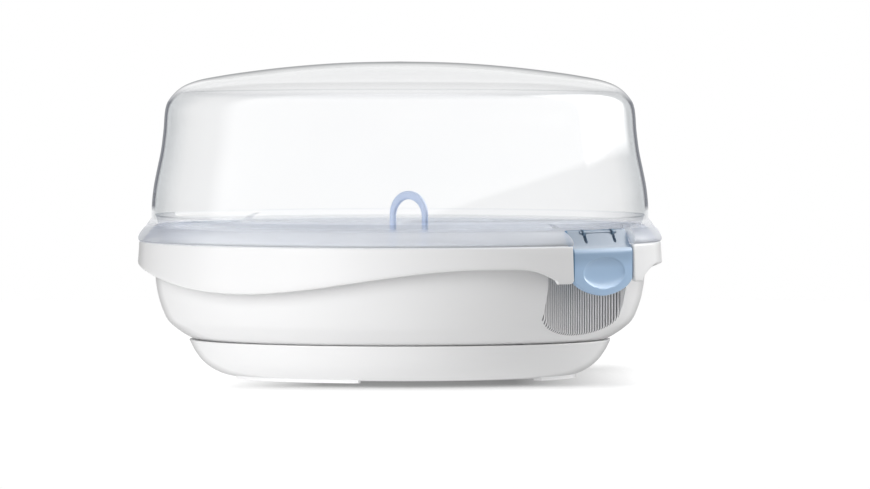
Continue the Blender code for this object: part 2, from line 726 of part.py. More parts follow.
def clip_section():
    """Cross-section of a clip through its middle: outer line down, then inner line up."""
    neck = HINGE_RADIUS - CLIP_NECK_DEPTH
    return [
        (CLIP_TOP_FACE, CLIP_TOP),
        (CLIP_FACE - CLIP_KNEE_ROUND, CLIP_KNEE + CLIP_KNEE_ROUND),
        (CLIP_FACE - CLIP_KNEE_ROUND / 4, CLIP_KNEE),
        (CLIP_FACE, CLIP_KNEE - CLIP_KNEE_ROUND),
        (CLIP_FACE, CLIP_BOTTOM + CLIP_THICKNESS / 2),
        (CLIP_FACE - CLIP_THICKNESS / 4, CLIP_BOTTOM),
        (CLIP_FACE - CLIP_THICKNESS, CLIP_BOTTOM),
        (CLIP_FACE - CLIP_THICKNESS, CLIP_KNEE - CLIP_KNEE_ROUND),
        (neck, HINGE_HEIGHT - HINGE_BAR),
        (neck, HINGE_HEIGHT),
        (CLIP_TOP_FACE - CLIP_TOP_THICKNESS, CLIP_TOP),
    ]


def clip_front_outline():
    """Front outline of a clip in (y, z): straight sides and a rounded lower end."""
    middle = CLIP_BOTTOM + CLIP_ROUND_HEIGHT
    top = CLIP_TOP + OVERRUN
    outline = [(-CLIP_HALF_WIDTH, top)]
    power = CLIP_ROUND_POWER_SHARE
    for i in range(CLIP_OUTLINE_STEPS + 1):
        angle = math.pi * i / CLIP_OUTLINE_STEPS
        y = math.copysign(abs(math.cos(angle)) ** (2 / power), -math.cos(angle))
        z = math.sin(angle) ** (2 / power)
        outline.append((CLIP_HALF_WIDTH * y, middle - CLIP_ROUND_HEIGHT * z))
    outline.append((CLIP_HALF_WIDTH, top))
    return outline


def clip_plate(name, collection):
    """The slightly curved plate of the clip at +X, swept round its own upright axis."""
    half_angle = math.asin((CLIP_HALF_WIDTH + OVERRUN) / (CLIP_TOP_FACE - CLIP_CURVE_CENTRE))
    bm = bmesh.new()
    verts = []
    for face, height in clip_section():
        x, y = arc(face - CLIP_CURVE_CENTRE, -half_angle, half_angle, 1)[0]
        verts.append(bm.verts.new((CLIP_CURVE_CENTRE + x, y, height)))
    face = bm.faces.new(verts)
    geometry = [face, *face.edges, *face.verts]
    bmesh.ops.spin(
        bm,
        geom=geometry,
        cent=(CLIP_CURVE_CENTRE, 0.0, 0.0),
        axis=(0.0, 0.0, 1.0),
        angle=2 * half_angle,
        steps=CLIP_SWEEP_STEPS,
        use_duplicate=False,
    )
    bmesh.ops.remove_doubles(bm, verts=bm.verts, dist=MERGE_DISTANCE)
    return put_bmesh(name, bm, collection)


def clip_tools(cutters):
    """What shapes the clip at +X, each with the Boolean operation that it takes."""
    near = HINGE_RADIUS - LUG_ROUND - OVERRUN
    far = CLIP_FACE + OVERRUN
    front = prism("clip_front", clip_front_outline(), near, far, cutters)
    for vert in front.data.vertices:
        y, z, x = vert.co
        vert.co = (x, y, z)
    hook_top = COLLAR_TOP - RIM_THICKNESS - HOOK_PLAY
    hook_low = (KEEPER_RADIUS - HOOK_OVERLAP, -HOOK_HALF_WIDTH, hook_top - HOOK_THICKNESS)
    hook_high = (CLIP_FACE - CLIP_THICKNESS / 2, HOOK_HALF_WIDTH, hook_top)
    hook = box("clip_hook", hook_low, hook_high, cutters)
    bm = bmesh.new()
    bmesh.ops.create_uvsphere(bm, u_segments=THUMB_STEPS, v_segments=HINGE_STEPS, radius=1)
    half_depth = THUMB_CUTTER_HALF_DEPTH
    for vert in bm.verts:
        x, y, z = vert.co
        y *= THUMB_HALF_WIDTH
        face = CLIP_CURVE_CENTRE + math.sqrt(CLIP_CURVE**2 - y**2)
        out = face - THUMB_DEPTH + half_depth * (1 + x)
        vert.co = (out, y, THUMB_HEIGHT + THUMB_HALF_HEIGHT * z)
    thumb = put_bmesh("clip_thumb", bm, cutters)
    tools = [(front, "INTERSECT"), (hook, "UNION"), (thumb, "DIFFERENCE")]
    half_slot = LUG_WIDTH / 2 + LUG_SIDE_GAP
    for y, word in ((-LUG_OFFSET, "front"), (LUG_OFFSET, "back")):
        low = (near, y - half_slot, CLIP_TOP - LUG_SLOT_LENGTH)
        high = (far, y + half_slot, CLIP_TOP + OVERRUN)
        tools.append((box("clip_slot_" + word, low, high, cutters), "DIFFERENCE"))
    centre = (HINGE_RADIUS, 0.0, HINGE_HEIGHT)
    half_bar = LUG_OFFSET + LUG_WIDTH + HINGE_BAR
    tools.append((rod("clip_bar", HINGE_BAR, half_bar, centre, HINGE_STEPS, cutters), "UNION"))
    return tools


def make_clips(parts, cutters, made):
    """The two clips, alike, with their origins on their hinge axes."""
    plate = clip_plate("clip_right", parts)
    for tool, operation in clip_tools(cutters):
        boolean(plate, tool, operation)
    bake(plate)
    opposite = side_copy(plate, "clip_left", -1, parts)
    for clip, side in ((plate, 1), (opposite, -1)):
        for vert in clip.data.vertices:
            vert.co.x -= side * HINGE_RADIUS
            vert.co.z -= HINGE_HEIGHT
        clip.location = (side * HINGE_RADIUS, 0.0, HINGE_HEIGHT)
        finish(clip, made)


def main():
    clear_scene()
    parts = new_collection("microwave_sterilizer")
    cutters = new_collection("cutters")
    white = material("white_plastic", (0.86, 0.86, 0.87), 0.28)
    dish_white = material("dish_white_plastic", (0.84, 0.84, 0.85), 0.30)
    tray_blue = material("tray_blue_plastic", (0.50, 0.58, 0.82), 0.35)
    clear = material("clear_plastic", (0.95, 0.96, 0.98), 0.06, alpha=0.35, transmission=0.9)
    clip_blue = material("clip_blue_plastic", (0.38, 0.51, 0.72), 0.38)
    make_base_bowl(parts, cutters, white)
    make_foot_dish(parts, cutters, dish_white)
    make_bottle_tray(parts, cutters, tray_blue)
    make_lid(parts, cutters, clear)
    make_clips(parts, cutters, clip_blue)


main()
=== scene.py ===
"""Looks of a microwave steam sterilizer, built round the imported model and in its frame.

Metres, +Z up. The clips are at +X and -X and the front is -Y. A fine piece stands for each CAD node.
The sizes are the part's own, and the pieces add roundings and finishes.
"""

from math import asin, atan2, copysign, cos, degrees, dist, hypot, pi, radians, remainder, sin, sqrt

import bmesh
import bpy
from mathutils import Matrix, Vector

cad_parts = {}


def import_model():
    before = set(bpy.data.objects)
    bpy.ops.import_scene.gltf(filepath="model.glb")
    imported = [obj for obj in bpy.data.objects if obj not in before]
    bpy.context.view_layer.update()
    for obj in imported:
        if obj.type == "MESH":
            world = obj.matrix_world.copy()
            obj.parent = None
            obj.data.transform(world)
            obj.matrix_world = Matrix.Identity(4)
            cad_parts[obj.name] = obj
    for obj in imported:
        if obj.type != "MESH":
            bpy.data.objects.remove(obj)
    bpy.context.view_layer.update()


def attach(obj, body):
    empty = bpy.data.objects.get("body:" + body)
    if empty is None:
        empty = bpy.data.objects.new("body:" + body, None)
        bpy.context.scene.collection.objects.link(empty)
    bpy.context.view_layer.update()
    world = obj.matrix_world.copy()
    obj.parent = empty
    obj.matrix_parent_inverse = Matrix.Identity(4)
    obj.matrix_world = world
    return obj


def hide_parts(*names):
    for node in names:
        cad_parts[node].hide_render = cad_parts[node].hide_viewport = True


FULL_TURN = 2 * pi
EVEN_TURN = [FULL_TURN * i / 240 for i in range(240)]
RING_TURN = [FULL_TURN * i / 96 for i in range(96)]
SHARP_ANGLE = radians(35)
MERGE_DISTANCE = 0.000002
OVERRUN = 0.004

# Ways to lay a prism: which of its outline's two numbers and its depth are x, y and z
UPRIGHT = (0, 1, 2)
OUTWARD = (2, 0, 1)
SIDEWAYS = (0, 2, 1)

# Collar and skirt of the base
COLLAR_RADIUS = 0.1381
COLLAR_TOP_RADIUS = 0.1375
COLLAR_TOP = 0.0715
RIM_THICKNESS = 0.0023
RIM_INNER_RADIUS = 0.1270
SKIRT_THICKNESS = 0.0022
SKIRT_TOP_ROUND = 0.0009
SKIRT_EDGE_ROUND = 0.0010
SKIRT_LOW_EDGE = 0.0469
SKIRT_HIGH_EDGE = 0.0600
SKIRT_CHEEK_EDGE = 0.0520
SKIRT_STEP_HEIGHT = 0.0017
SKIRT_RISE_ANGLE = radians(57)
SKIRT_RAMP_START = radians(64.5)
SKIRT_RAMP_END = radians(74.4)
SKIRT_STEP_ANGLE = radians(0.35)
CHEEK_CORNER = 0.0020
CHEEK_SIDE_ROUND = 0.0008
KEEPER_RADIUS = 0.1310
CLIP_SIDE_GAP = 0.0005
CORNER_SHARES = (-0.2, 0.0, 0.05, 0.12, 0.2, 0.3, 0.42, 0.56, 0.72, 0.9)
RAMP_STEPS = 48

# Bowl and its finger grips
BOWL_WALL = 0.0022
BOWL_RADIUS = 0.1292
BOWL_FLOOR = 0.0200
BOWL_FLOOR_THICKNESS = 0.0034
BOWL_RADIUS_SHARES = (0.997, 0.990, 0.977, 0.948, 0.9149, 0.868, 0.842)
BOWL_HEIGHT_SHARES = (0.650, 0.518, 0.383, 0.206, 0.122, 0.038, 0.008)
GRIP_DEPTH_RADIUS = 0.1172
GRIP_CURVE = 0.1425
GRIP_HALF_WIDTH = 0.0335
GRIP_TOP = 0.0620
GRIP_CEILING = 0.0025
GRIP_WALL = 0.0018
GRIP_CUT_RADIUS = 0.1324
RIB_DEPTH = 0.0014
RIB_PITCH = 0.00195
RIB_GAP_SHARE = 0.48
RIB_TIP_STEPS = 6
GROOVE_REACH = 1.1
UPRIGHT_LIMIT = 0.05

# Foot dish
SEAT_GAP = 0.0003
NECK_RADIUS = 0.10635
NECK_WALL = 0.0022
DISH_RADIUS = 0.11095
DISH_LIP = 0.01992
DISH_LIP_ROUND = 0.0004
DISH_UNDERSIDE = 0.0008
DISH_WALL = 0.0022
DISH_RADIUS_SHARES = (0.976, 0.937, 0.883, 0.826, 0.756)
DISH_HEIGHT_SHARES = (0.703, 0.400, 0.165, 0.035, 0.0)
PAD_RADIUS = 0.09055
PAD_WIDTH = 0.0050
PAD_ARC_DEGREES = 54
PAD_COUNT = 3
PAD_START_DEGREES = -119.2

# Bottle tray and its loop handle
TRAY_RADIUS = 0.10905
TRAY_THICKNESS = 0.0020
TRAY_RIM_HEIGHT = 0.0047
TRAY_RIM_WIDTH = 0.0019
TRAY_LIP_GAP = 0.0005
TRAY_LIP_DEPTH = 0.0022
TRAY_LIP_WIDTH = 0.0018
SEAT_RADIUS = 0.0345
SEAT_RIM = 0.0016
SEAT_HEIGHT = 0.0030
SEAT_CIRCLE = 0.06605
SEAT_COUNT = 4
SLOT_LENGTH = 0.0260
SLOT_WIDTH = 0.0035
SLOT_PITCH = 0.0110
SLOTS_IN_SEAT = 3
EDGE_SLOT_LENGTH = 0.0200
EDGE_SLOT_CIRCLE = 0.08505
HANDLE_TOP = 0.0979
HANDLE_OFFSET = 0.0060
HANDLE_WIDTH = 0.0245
HANDLE_LEG = 0.0031
HANDLE_BRIDGE = 0.0044
HANDLE_THICKNESS = 0.0024
HANDLE_FLARE = 0.0045
HANDLE_FLARE_HEIGHT = 0.0200
HANDLE_EDGE_ROUND = 0.0007
EDGE_ROUND_ANGLES = (0.0, 0.4, 0.8, 1.2, pi / 2)

# Lid
LID_TOP = 0.1660
LID_WALL = 0.0020
LID_WALL_BASE = 0.0835
LID_WALL_RADIUS = 0.1309
LID_CROWN_RADIUS = 0.5920
LID_CROWN_SHARES = (0.0, 0.24, 0.45, 0.61, 0.723)
LID_RADIUS_SHARES = (0.822, 0.8785, 0.9152, 0.9404, 0.9526, 0.9626, 0.9786, 0.9916, 0.9992)
LID_HEIGHT_SHARES = (0.8752, 0.8364, 0.7855, 0.7212, 0.5491, 0.4279, 0.3055, 0.1976, 0.0824)
FLANGE_RADIUS = 0.1380
FLANGE_THICKNESS = 0.0018
FLANGE_NOSE = 0.0012
FLANGE_STEP_SHARE = 0.36
FLANGE_STEP = 0.0004
FLANGE_END_GAP = 0.0003
FLANGE_END_WIDTH = 0.0105
TONGUE_GAP = 0.0006
TONGUE_THICKNESS = 0.0016
TONGUE_REACH = 0.0055
TONGUE_SHOULDER = 0.0020
NOTCH_RADIUS = 0.1281
NOTCH_TOP = 0.0836

# Clips
CLIP_HALF_WIDTH = 0.0254
CLIP_THICKNESS = 0.0024
CLIP_FACE = 0.1359
CLIP_CURVE = 0.3000
CLIP_BOW = 0.1500
CLIP_BOW_HEIGHT = 0.0590
CLIP_TOP = 0.0797
CLIP_TOP_FACE = 0.1306
CLIP_TOP_THICKNESS = 0.0011
CLIP_NECK = 0.1290
CLIP_KNEE = 0.0697
CLIP_KNEE_ROUND = 0.0018
CLIP_BOTTOM = 0.0453
CLIP_ROUND_HEIGHT = 0.0095
CLIP_ROUND_POWER = 1.75
CLIP_EDGE_ROUND = 0.0007
HINGE_RADIUS = 0.1303
HINGE_HEIGHT = 0.0781
HINGE_BAR = 0.0011
LUG_OFFSET = 0.0123
LUG_WIDTH = 0.0020
LUG_ROUND = 0.0018
LUG_SIDE_GAP = 0.0003
LUG_SLOT_LENGTH = 0.0070
HOOK_HALF_WIDTH = 0.0140
HOOK_THICKNESS = 0.0031
HOOK_PLAY = 0.0005
HOOK_OVERLAP = 0.0011
THUMB_HALF_WIDTH = 0.0176
THUMB_HALF_HEIGHT = 0.0081
THUMB_HEIGHT = 0.0573
THUMB_DEPTH = 0.0014
CLIP_RING_POINTS = 260
CLIP_EDGE_STEPS = 6
CLIP_FACE_STEPS = 40
MIDDLE_GAP = 0.4

# Camera
CAMERA_AZIMUTH = radians(38.1)
CAMERA_ELEVATION = radians(1.7)
CAMERA_DISTANCE = 6.0
CAMERA_LENS = 471.0
CAMERA_ASIDE = 0.01845
CAMERA_HEIGHT = 0.0695

# Light
WORLD_LIGHT = 0.22
LIGHT_AIM_HEIGHT = 0.06
KEY_POWER = 22.5
SIDE_POWER = 16.0
RIM_POWER = 32.0
TOP_POWER = 18.0
FLOOR_HALF_WIDTH = 3.0
FLOOR_GREY = 0.30
# Painted light of the table: its glow for the camera, and its bounce glow for other rays
FLOOR_GLOW = 1.02
FLOOR_BOUNCE = 0.72
FLOOR_SHADE_REACH = 0.30

# Finishes, and painted shade
NOISE_RANGE = (0.3, 0.7)
BUMP_HEIGHT = 0.00002
# Share of the colour in the painted shade at outlines
PAINTED_EDGE_SHADE = 0.35
COAT_ROUGHNESS = 0.12
LUG_ROUGHNESS = 0.30
CLEAR_ROUGHNESS = 0.02
CLEAR_IOR = 1.5
INNER_GLOSS = 0.35
GLOSS_LIMIT = 0.20
# Painted shade rings at the dome's shoulder, outside and inside: (height, half width)
SHOULDER_SHADE_RING = (0.1499, 0.0022)
INNER_SHOULDER_SHADE_RING = (0.1494, 0.0005)
WALL_LEAN = 0.24
LEAN_TOP = 0.150
OWN_NORMAL_RANGE = (0.144, 0.151)

# Colours of the plastics and of their painted shade: the darkest and the lightest of their clouds
WHITES = ((0.855, 0.855, 0.86), (0.875, 0.875, 0.877))
# Painted shade in the grooves between the grip's ribs
GROOVE_PAINTED_SHADE_GREYS = ((0.34, 0.335, 0.35), (0.38, 0.375, 0.39))
TRAY_BLUES = ((0.44, 0.52, 0.68), (0.47, 0.55, 0.71))
CLIP_BLUES = ((0.40, 0.57, 0.79), (0.42, 0.59, 0.81))
# Painted shade on the clips' rounded sides, in the gaps beside them
CLIP_SIDE_SHADE_BLUES = ((0.10, 0.20, 0.34), (0.12, 0.23, 0.38))
# Painted shade of the hinge lugs, deep in the clips' slots
LUG_SHADE_BLUES = ((0.10, 0.17, 0.25), (0.13, 0.20, 0.29))
FROST_GREYS = ((0.73, 0.745, 0.77), (0.77, 0.785, 0.81))
# Painted shade of the flange where it is seen edge on
FROST_EDGE_SHADE = (0.50, 0.52, 0.57)

# Painted shade on the clips, darker in two steps towards the top: (share of the colour, start height, full
# height)
CLIP_PAINTED_SHADES = ((0.80, 0.0600, 0.0645), (0.42, 0.0690, 0.0705))

# What the clear walls let through: thin, thick, then painted shade edge on, at the shoulder, in the side
# line and the top line
CLEAR_BODY = ((0.968, 0.971, 0.974), (0.960, 0.964, 0.968))
CLEAR_PAINTED_LINES = ((0.15, 0.16, 0.19), (0.28, 0.29, 0.30))
CLEAR_OUTSIDE = (*CLEAR_BODY, (0.83, 0.845, 0.865), (0.84, 0.845, 0.86), *CLEAR_PAINTED_LINES)
CLEAR_INSIDE = (*CLEAR_BODY, (0.94, 0.955, 0.96), (0.80, 0.81, 0.82))
CLEAR_SHADOW = (0.97, 0.97, 0.97)

# What the frosted flange lets through: in the middle, then painted shade seen edge on, near the dome and at
# the rim
FROST_GLASS = ((0.96, 0.965, 0.975), (0.72, 0.735, 0.76), (0.84, 0.85, 0.87), (0.35, 0.36, 0.38))
FROST_SHADOW = (0.90, 0.91, 0.93)

# Places that several pieces share
RIM_UNDER = COLLAR_TOP - RIM_THICKNESS
SKIRT_INSIDE = COLLAR_RADIUS - SKIRT_THICKNESS
SKIRT_LOW = SKIRT_LOW_EDGE + SKIRT_EDGE_ROUND
FLOOR_TOP = BOWL_FLOOR + BOWL_FLOOR_THICKNESS
NECK_INSIDE = NECK_RADIUS - NECK_WALL
TRAY_UNDER = FLOOR_TOP + SEAT_GAP
TRAY_TOP = TRAY_UNDER + TRAY_THICKNESS
FLANGE_SEAT = COLLAR_TOP + SEAT_GAP
CLIP_GAP_HALF_WIDTH = CLIP_HALF_WIDTH + CLIP_SIDE_GAP


# Outlines and meshes


def polar(radius, angle, centre=(0.0, 0.0)):
    """The point at a distance and an angle from a centre."""
    return (centre[0] + radius * cos(angle), centre[1] + radius * sin(angle))


def arc(centre, radius, start, end, steps):
    """Points on a circle, with angles in degrees from the first axis."""
    angles = [radians(start + (end - start) * i / steps) for i in range(steps + 1)]
    return [polar(radius, angle, centre) for angle in angles]


def bend(start, control, end, steps):
    """Points on a quadratic curve."""
    points = []
    for i in range(steps + 1):
        t = i / steps
        weights = ((1 - t) ** 2, 2 * t * (1 - t), t * t)
        points.append(tuple(sum(w * p[k] for w, p in zip(weights, (start, control, end))) for k in (0, 1)))
    return points


def between(start, end, steps):
    """Points on the straight way from start to end, without these two."""
    return [tuple(a + (b - a) * i / steps for a, b in zip(start, end)) for i in range(1, steps)]


def at_shares(radius, low, high, radius_shares, height_shares):
    """Points at shares of a radius and of the height between low and high."""
    return [(radius * r, low + (high - low) * h) for r, h in zip(radius_shares, height_shares)]


def mirrored(points):
    """A line's points on the other side of the second axis, in reversed order."""
    return [(-a, b) for a, b in reversed(points)]


def sag(radius, away):
    """How far a circle has fallen back at a distance from its crest."""
    return radius - sqrt(radius**2 - away**2)


def clamped(value):
    """A value kept between 0 and 1."""
    return min(max(value, 0.0), 1.0)


def smooth_line(points, steps):
    """A smooth line through points, with steps pieces between each two."""
    padded = [tuple(2 * a - b for a, b in zip(points[0], points[1])), *points]
    padded.append(tuple(2 * a - b for a, b in zip(points[-1], points[-2])))
    line = []
    for i in range(1, len(padded) - 2):
        four = [Vector(p) for p in padded[i - 1 : i + 3]]
        knots = [0.0]
        for a, b in zip(four, four[1:]):
            knots.append(knots[-1] + sqrt((b - a).length))
        for j in range(steps):
            t = knots[1] + (knots[2] - knots[1]) * j / steps
            level = four
            for spans in (((0, 1), (1, 2), (2, 3)), ((0, 2), (1, 3)), ((1, 2),)):
                shares = [(t - knots[low]) / (knots[high] - knots[low]) for low, high in spans]
                level = [a.lerp(b, share) for a, b, share in zip(level, level[1:], shares)]
            line.append(tuple(level[0]))
    line.append(tuple(points[-1]))
    return line


def moved_aside(points, distance):
    """A line of points moved by a distance to the right of the way it runs."""
    moved = []
    for before, here, after in zip(points[:1] + points, points, points[1:] + points[-1:]):
        left = (Vector(after) - Vector(before)).orthogonal().normalized()
        moved.append(tuple(Vector(here) - left * distance))
    return moved


def put_object(name, data):
    """A new object in the scene."""
    item = bpy.data.objects.new(name, data)
    bpy.context.scene.collection.objects.link(item)
    return item


def put_mesh(name, verts, faces):
    """A new object from points and faces, welded, with its faces turned outward."""
    mesh = bpy.data.meshes.new(name)
    mesh.from_pydata(verts, [], faces)
    bm = bmesh.new()
    bm.from_mesh(mesh)
    bmesh.ops.remove_doubles(bm, verts=bm.verts, dist=MERGE_DISTANCE)
    bmesh.ops.recalc_face_normals(bm, faces=bm.faces)
    bm.to_mesh(mesh)
    bm.free()
    return put_object(name, mesh)


def band(here, there, count):
    """Faces between two rings of points, each given by the number of its first one."""
    return [(here + i, here + (i + 1) % count, there + (i + 1) % count, there + i) for i in range(count)]


def turned(name, outline, closed=False, angles=EVEN_TURN, shaped=None):
    """A turned body from (radius, height) points, which shaped(radius, height, angle) may move."""
    rows = len(outline)
    verts = []
    for angle in angles:
        for radius, height in outline:
            if shaped:
                radius, height = shaped(radius, height, angle)
            verts.append((*polar(radius, angle), height))
    faces = []
    for i in range(len(angles)):
        quads = band(i * rows, (i + 1) % len(angles) * rows, rows)
        faces += quads if closed else quads[:-1]
    return put_mesh(name, verts, faces)


def prism(name, outline, low, high, axes=UPRIGHT):
    """A closed body between two copies of a flat outline, at a low and a high depth."""
    count = len(outline)
    verts = [tuple((a, b, c)[k] for k in axes) for c in (low, high) for a, b in outline]
    faces = [tuple(range(count)), tuple(range(2 * count - 1, count - 1, -1)), *band(0, count, count)]
    return put_mesh(name, verts, faces)


def side_turned(item, name):
    """A copy of an object made for the +X side, turned to the -X side."""
    mesh = item.data.copy()
    for vert in mesh.vertices:
        vert.co.xy = -vert.co.xy
    return put_object(name, mesh)


def both_sides(item):
    """An object made for the +X side and its copy on the -X side."""
    return [side_turned(item, item.name + "_left"), item]


def cut(item, tools, operation="DIFFERENCE"):
    """Cuts or joins an object with tools, and removes these."""
    for tool in tools:
        modifier = item.modifiers.new(tool.name, "BOOLEAN")
        modifier.operation = operation
        modifier.object = tool
        modifier.solver = "MANIFOLD"
    bpy.context.view_layer.update()
    graph = bpy.context.evaluated_depsgraph_get()
    mesh = bpy.data.meshes.new_from_object(item.evaluated_get(graph))
    item.modifiers.clear()
    item.data = mesh
    for tool in tools:
        bpy.data.objects.remove(tool)
    return item


def smooth_shaded(item):
    """Smooth shading that keeps sharp edges."""
    item.data.shade_smooth()
    item.data.set_sharp_from_angle(angle=SHARP_ANGLE)
    return item


def dress(item, materials, body, slot, *nodes):
    """Gives a piece its materials and body, and hides the CAD nodes that it stands for. The slot is not
    used.
    """
    item.data.materials.clear()
    for made in materials:
        item.data.materials.append(made)
    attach(item, body)
    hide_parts(*nodes)
    return item


# Base bowl


def skirt_edge(angle):
    """Height of the skirt's lower edge, at an angle from +X."""
    away = abs(remainder(angle + pi / 2, pi))
    share = clamped(away / SKIRT_RISE_ANGLE)
    height = SKIRT_LOW_EDGE + (SKIRT_HIGH_EDGE - SKIRT_LOW_EDGE) * (1 - cos(pi * share)) / 2
    ramp = clamped((away - SKIRT_RAMP_START) / (SKIRT_RAMP_END - SKIRT_RAMP_START))
    step = clamped((away - SKIRT_RAMP_END) / SKIRT_STEP_ANGLE)
    cheek_drop = SKIRT_HIGH_EDGE - SKIRT_CHEEK_EDGE
    return height - (cheek_drop - SKIRT_STEP_HEIGHT) * ramp * ramp - SKIRT_STEP_HEIGHT * step


def rounding(radius, away):
    """How far a rounded corner falls back at a distance from its end."""
    return sag(radius, max(radius - max(away, 0.0), 0.0))


def shape_skirt(radius, height, angle):
    """Gives the turned bowl's skirt its wavy edge and its rounded ends at the clips."""
    if radius < SKIRT_INSIDE - MERGE_DISTANCE:
        return radius, height
    top = RIM_UNDER - SKIRT_TOP_ROUND
    share = clamped((top - height) / (top - SKIRT_LOW))
    away = abs(radius * sin(angle)) - CLIP_GAP_HALF_WIDTH
    rise = skirt_edge(angle) - SKIRT_LOW_EDGE + rounding(CHEEK_CORNER, away)
    if radius > SKIRT_INSIDE + SKIRT_THICKNESS / 2:
        radius -= rounding(CHEEK_SIDE_ROUND, away)
    return radius, height + share * rise


def bowl_outside():
    """Outer line of the bowl, from under the rim to the floor."""
    knots = at_shares(BOWL_RADIUS, BOWL_FLOOR, RIM_UNDER, BOWL_RADIUS_SHARES, BOWL_HEIGHT_SHARES)
    return smooth_line([(BOWL_RADIUS, RIM_UNDER), *knots], 5)


def bowl_outline():
    """Section of the bowl where its skirt is deepest."""
    top = (COLLAR_TOP_RADIUS - SKIRT_TOP_ROUND, COLLAR_TOP - SKIRT_TOP_ROUND)
    inner_top = (SKIRT_INSIDE, RIM_UNDER - SKIRT_TOP_ROUND)
    outside = bowl_outside()
    inside = moved_aside(outside, BOWL_WALL)[1:]
    hole = NECK_RADIUS + SEAT_GAP
    return [
        (RIM_INNER_RADIUS, COLLAR_TOP),
        *arc(top, SKIRT_TOP_ROUND, 90, 0, 5),
        *between((COLLAR_TOP_RADIUS, top[1]), (COLLAR_RADIUS, SKIRT_LOW), 8),
        *arc((COLLAR_RADIUS - SKIRT_EDGE_ROUND, SKIRT_LOW), SKIRT_EDGE_ROUND, 0, -90, 5),
        *arc((SKIRT_INSIDE + SKIRT_EDGE_ROUND, SKIRT_LOW), SKIRT_EDGE_ROUND, -90, -180, 5),
        *between((SKIRT_INSIDE, SKIRT_LOW), inner_top, 8),
        inner_top,
        (SKIRT_INSIDE - SKIRT_TOP_ROUND, RIM_UNDER),
        *outside,
        (hole, BOWL_FLOOR),
        (hole, FLOOR_TOP),
        (inside[-1][0] - BOWL_WALL / 2, FLOOR_TOP),
        *reversed(inside),
    ]


def bowl_angles():
    """Angles for the turned bowl, close together beside the clips."""
    corner = CHEEK_CORNER / COLLAR_RADIUS
    edge = asin(CLIP_GAP_HALF_WIDTH / COLLAR_RADIUS)
    near = [edge + corner * share for share in CORNER_SHARES]
    start = near[-1] + corner / 4
    ramp = pi / 2 - SKIRT_RAMP_START
    near += [start + (ramp - start) * i / RAMP_STEPS for i in range(RAMP_STEPS + 1)]
    angles = [a for a in EVEN_TURN if not near[0] <= abs(remainder(a, pi)) <= near[-1]]
    for angle in near:
        angles += [angle, pi - angle, pi + angle, FULL_TURN - angle]
    return sorted(angles)


def grip_line(y):
    """How far out a grip's rib tips lie, at a distance from its middle."""
    return GRIP_DEPTH_RADIUS + sag(GRIP_CURVE, y)


def round_sector(radius, half_angle, steps):
    """Points on a circle round the Z axis, from one side of +X to the other."""
    angle = degrees(half_angle)
    return arc((0.0, 0.0), radius, angle, -angle, steps)


def grip_cutter():
    """Cutter for the grip at +X, which leaves upright ribs with round tips."""
    half = GRIP_HALF_WIDTH
    count = round(2 * half / RIB_PITCH)
    pitch = 2 * half / count
    half_gap = pitch * RIB_GAP_SHARE / 2
    tip = pitch / 2 - half_gap
    tip_line = arc((0.0, 0.0), tip, 0, 180, RIB_TIP_STEPS)
    edge = half - tip
    line = [(grip_line(half), -half), (grip_line(edge), -edge)]
    for i in range(count):
        middle = -half + pitch * (i + 0.5)
        line += [(grip_line(middle) - RIB_DEPTH, y) for y in (middle - half_gap, middle + half_gap)]
        if i < count - 1:
            crest = middle + pitch / 2
            line += [(grip_line(crest) - tip + y, crest - x) for x, y in tip_line]
    line += [(grip_line(edge), edge), (grip_line(half), half)]
    outer = round_sector(GRIP_CUT_RADIUS, asin(half / GRIP_CUT_RADIUS), 24)
    return prism("grip_ribs", line + outer, BOWL_FLOOR - OVERRUN, GRIP_TOP)


def grip_backing():
    """The wall behind the ribs of the grip at +X."""
    reach = GRIP_HALF_WIDTH + OVERRUN
    far = BOWL_RADIUS + OVERRUN
    ys = [-reach + 2 * reach * i / 32 for i in range(33)]
    line = [(grip_line(y) - RIB_DEPTH - GRIP_WALL, y) for y in ys]
    line += [(far, reach), (far, -reach)]
    return prism("grip_wall", line, BOWL_FLOOR - OVERRUN, GRIP_TOP + GRIP_CEILING)


def bowl_core():
    """The space in the bowl, which the walls behind the ribs are trimmed to."""
    middle = moved_aside(bowl_outside(), BOWL_WALL / 2)
    outline = [(0.0, COLLAR_TOP), (middle[0][0], COLLAR_TOP), *middle, (0.0, middle[-1][1])]
    return turned("bowl_core", outline)


def gap_cutter(inner_radius, half_width, low, high):
    """Cutter for the clip's gap at +X, outside a radius."""
    inner = round_sector(inner_radius, asin(half_width / inner_radius), 24)
    far = COLLAR_RADIUS + OVERRUN
    return prism("clip_gap", inner + [(far, -half_width), (far, half_width)], low, high)


def make_bowl():
    """The bowl with its collar, wavy skirt and ribbed finger grips."""
    bowl = turned("bowl_with_skirt", bowl_outline(), True, bowl_angles(), shape_skirt)
    walls = cut(grip_backing(), [bowl_core()], "INTERSECT")
    gap = gap_cutter(KEEPER_RADIUS, CLIP_GAP_HALF_WIDTH, CLIP_BOTTOM - OVERRUN, COLLAR_TOP + OVERRUN)
    cut(bowl, both_sides(walls), "UNION")
    cut(bowl, both_sides(grip_cutter()) + both_sides(gap))
    return smooth_shaded(bowl)


def sort_bowl_faces(bowl):
    """Gives the walls of the grooves between the ribs the second material, a grey that paints the shade in
    the grooves.
    """
    for face in bowl.data.polygons:
        aside = abs(face.center.y)
        depth = grip_line(min(aside, GRIP_HALF_WIDTH)) - abs(face.center.x)
        in_grip = aside < GRIP_HALF_WIDTH - RIB_PITCH / 2 and face.center.z < GRIP_TOP
        in_groove = RIB_DEPTH / 2 < depth < RIB_DEPTH * GROOVE_REACH
        is_wall = abs(face.normal.z) < UPRIGHT_LIMIT and face.area > 3 * RIB_DEPTH**2
        face.material_index = 1 if in_grip and in_groove and is_wall else 0


# Foot dish


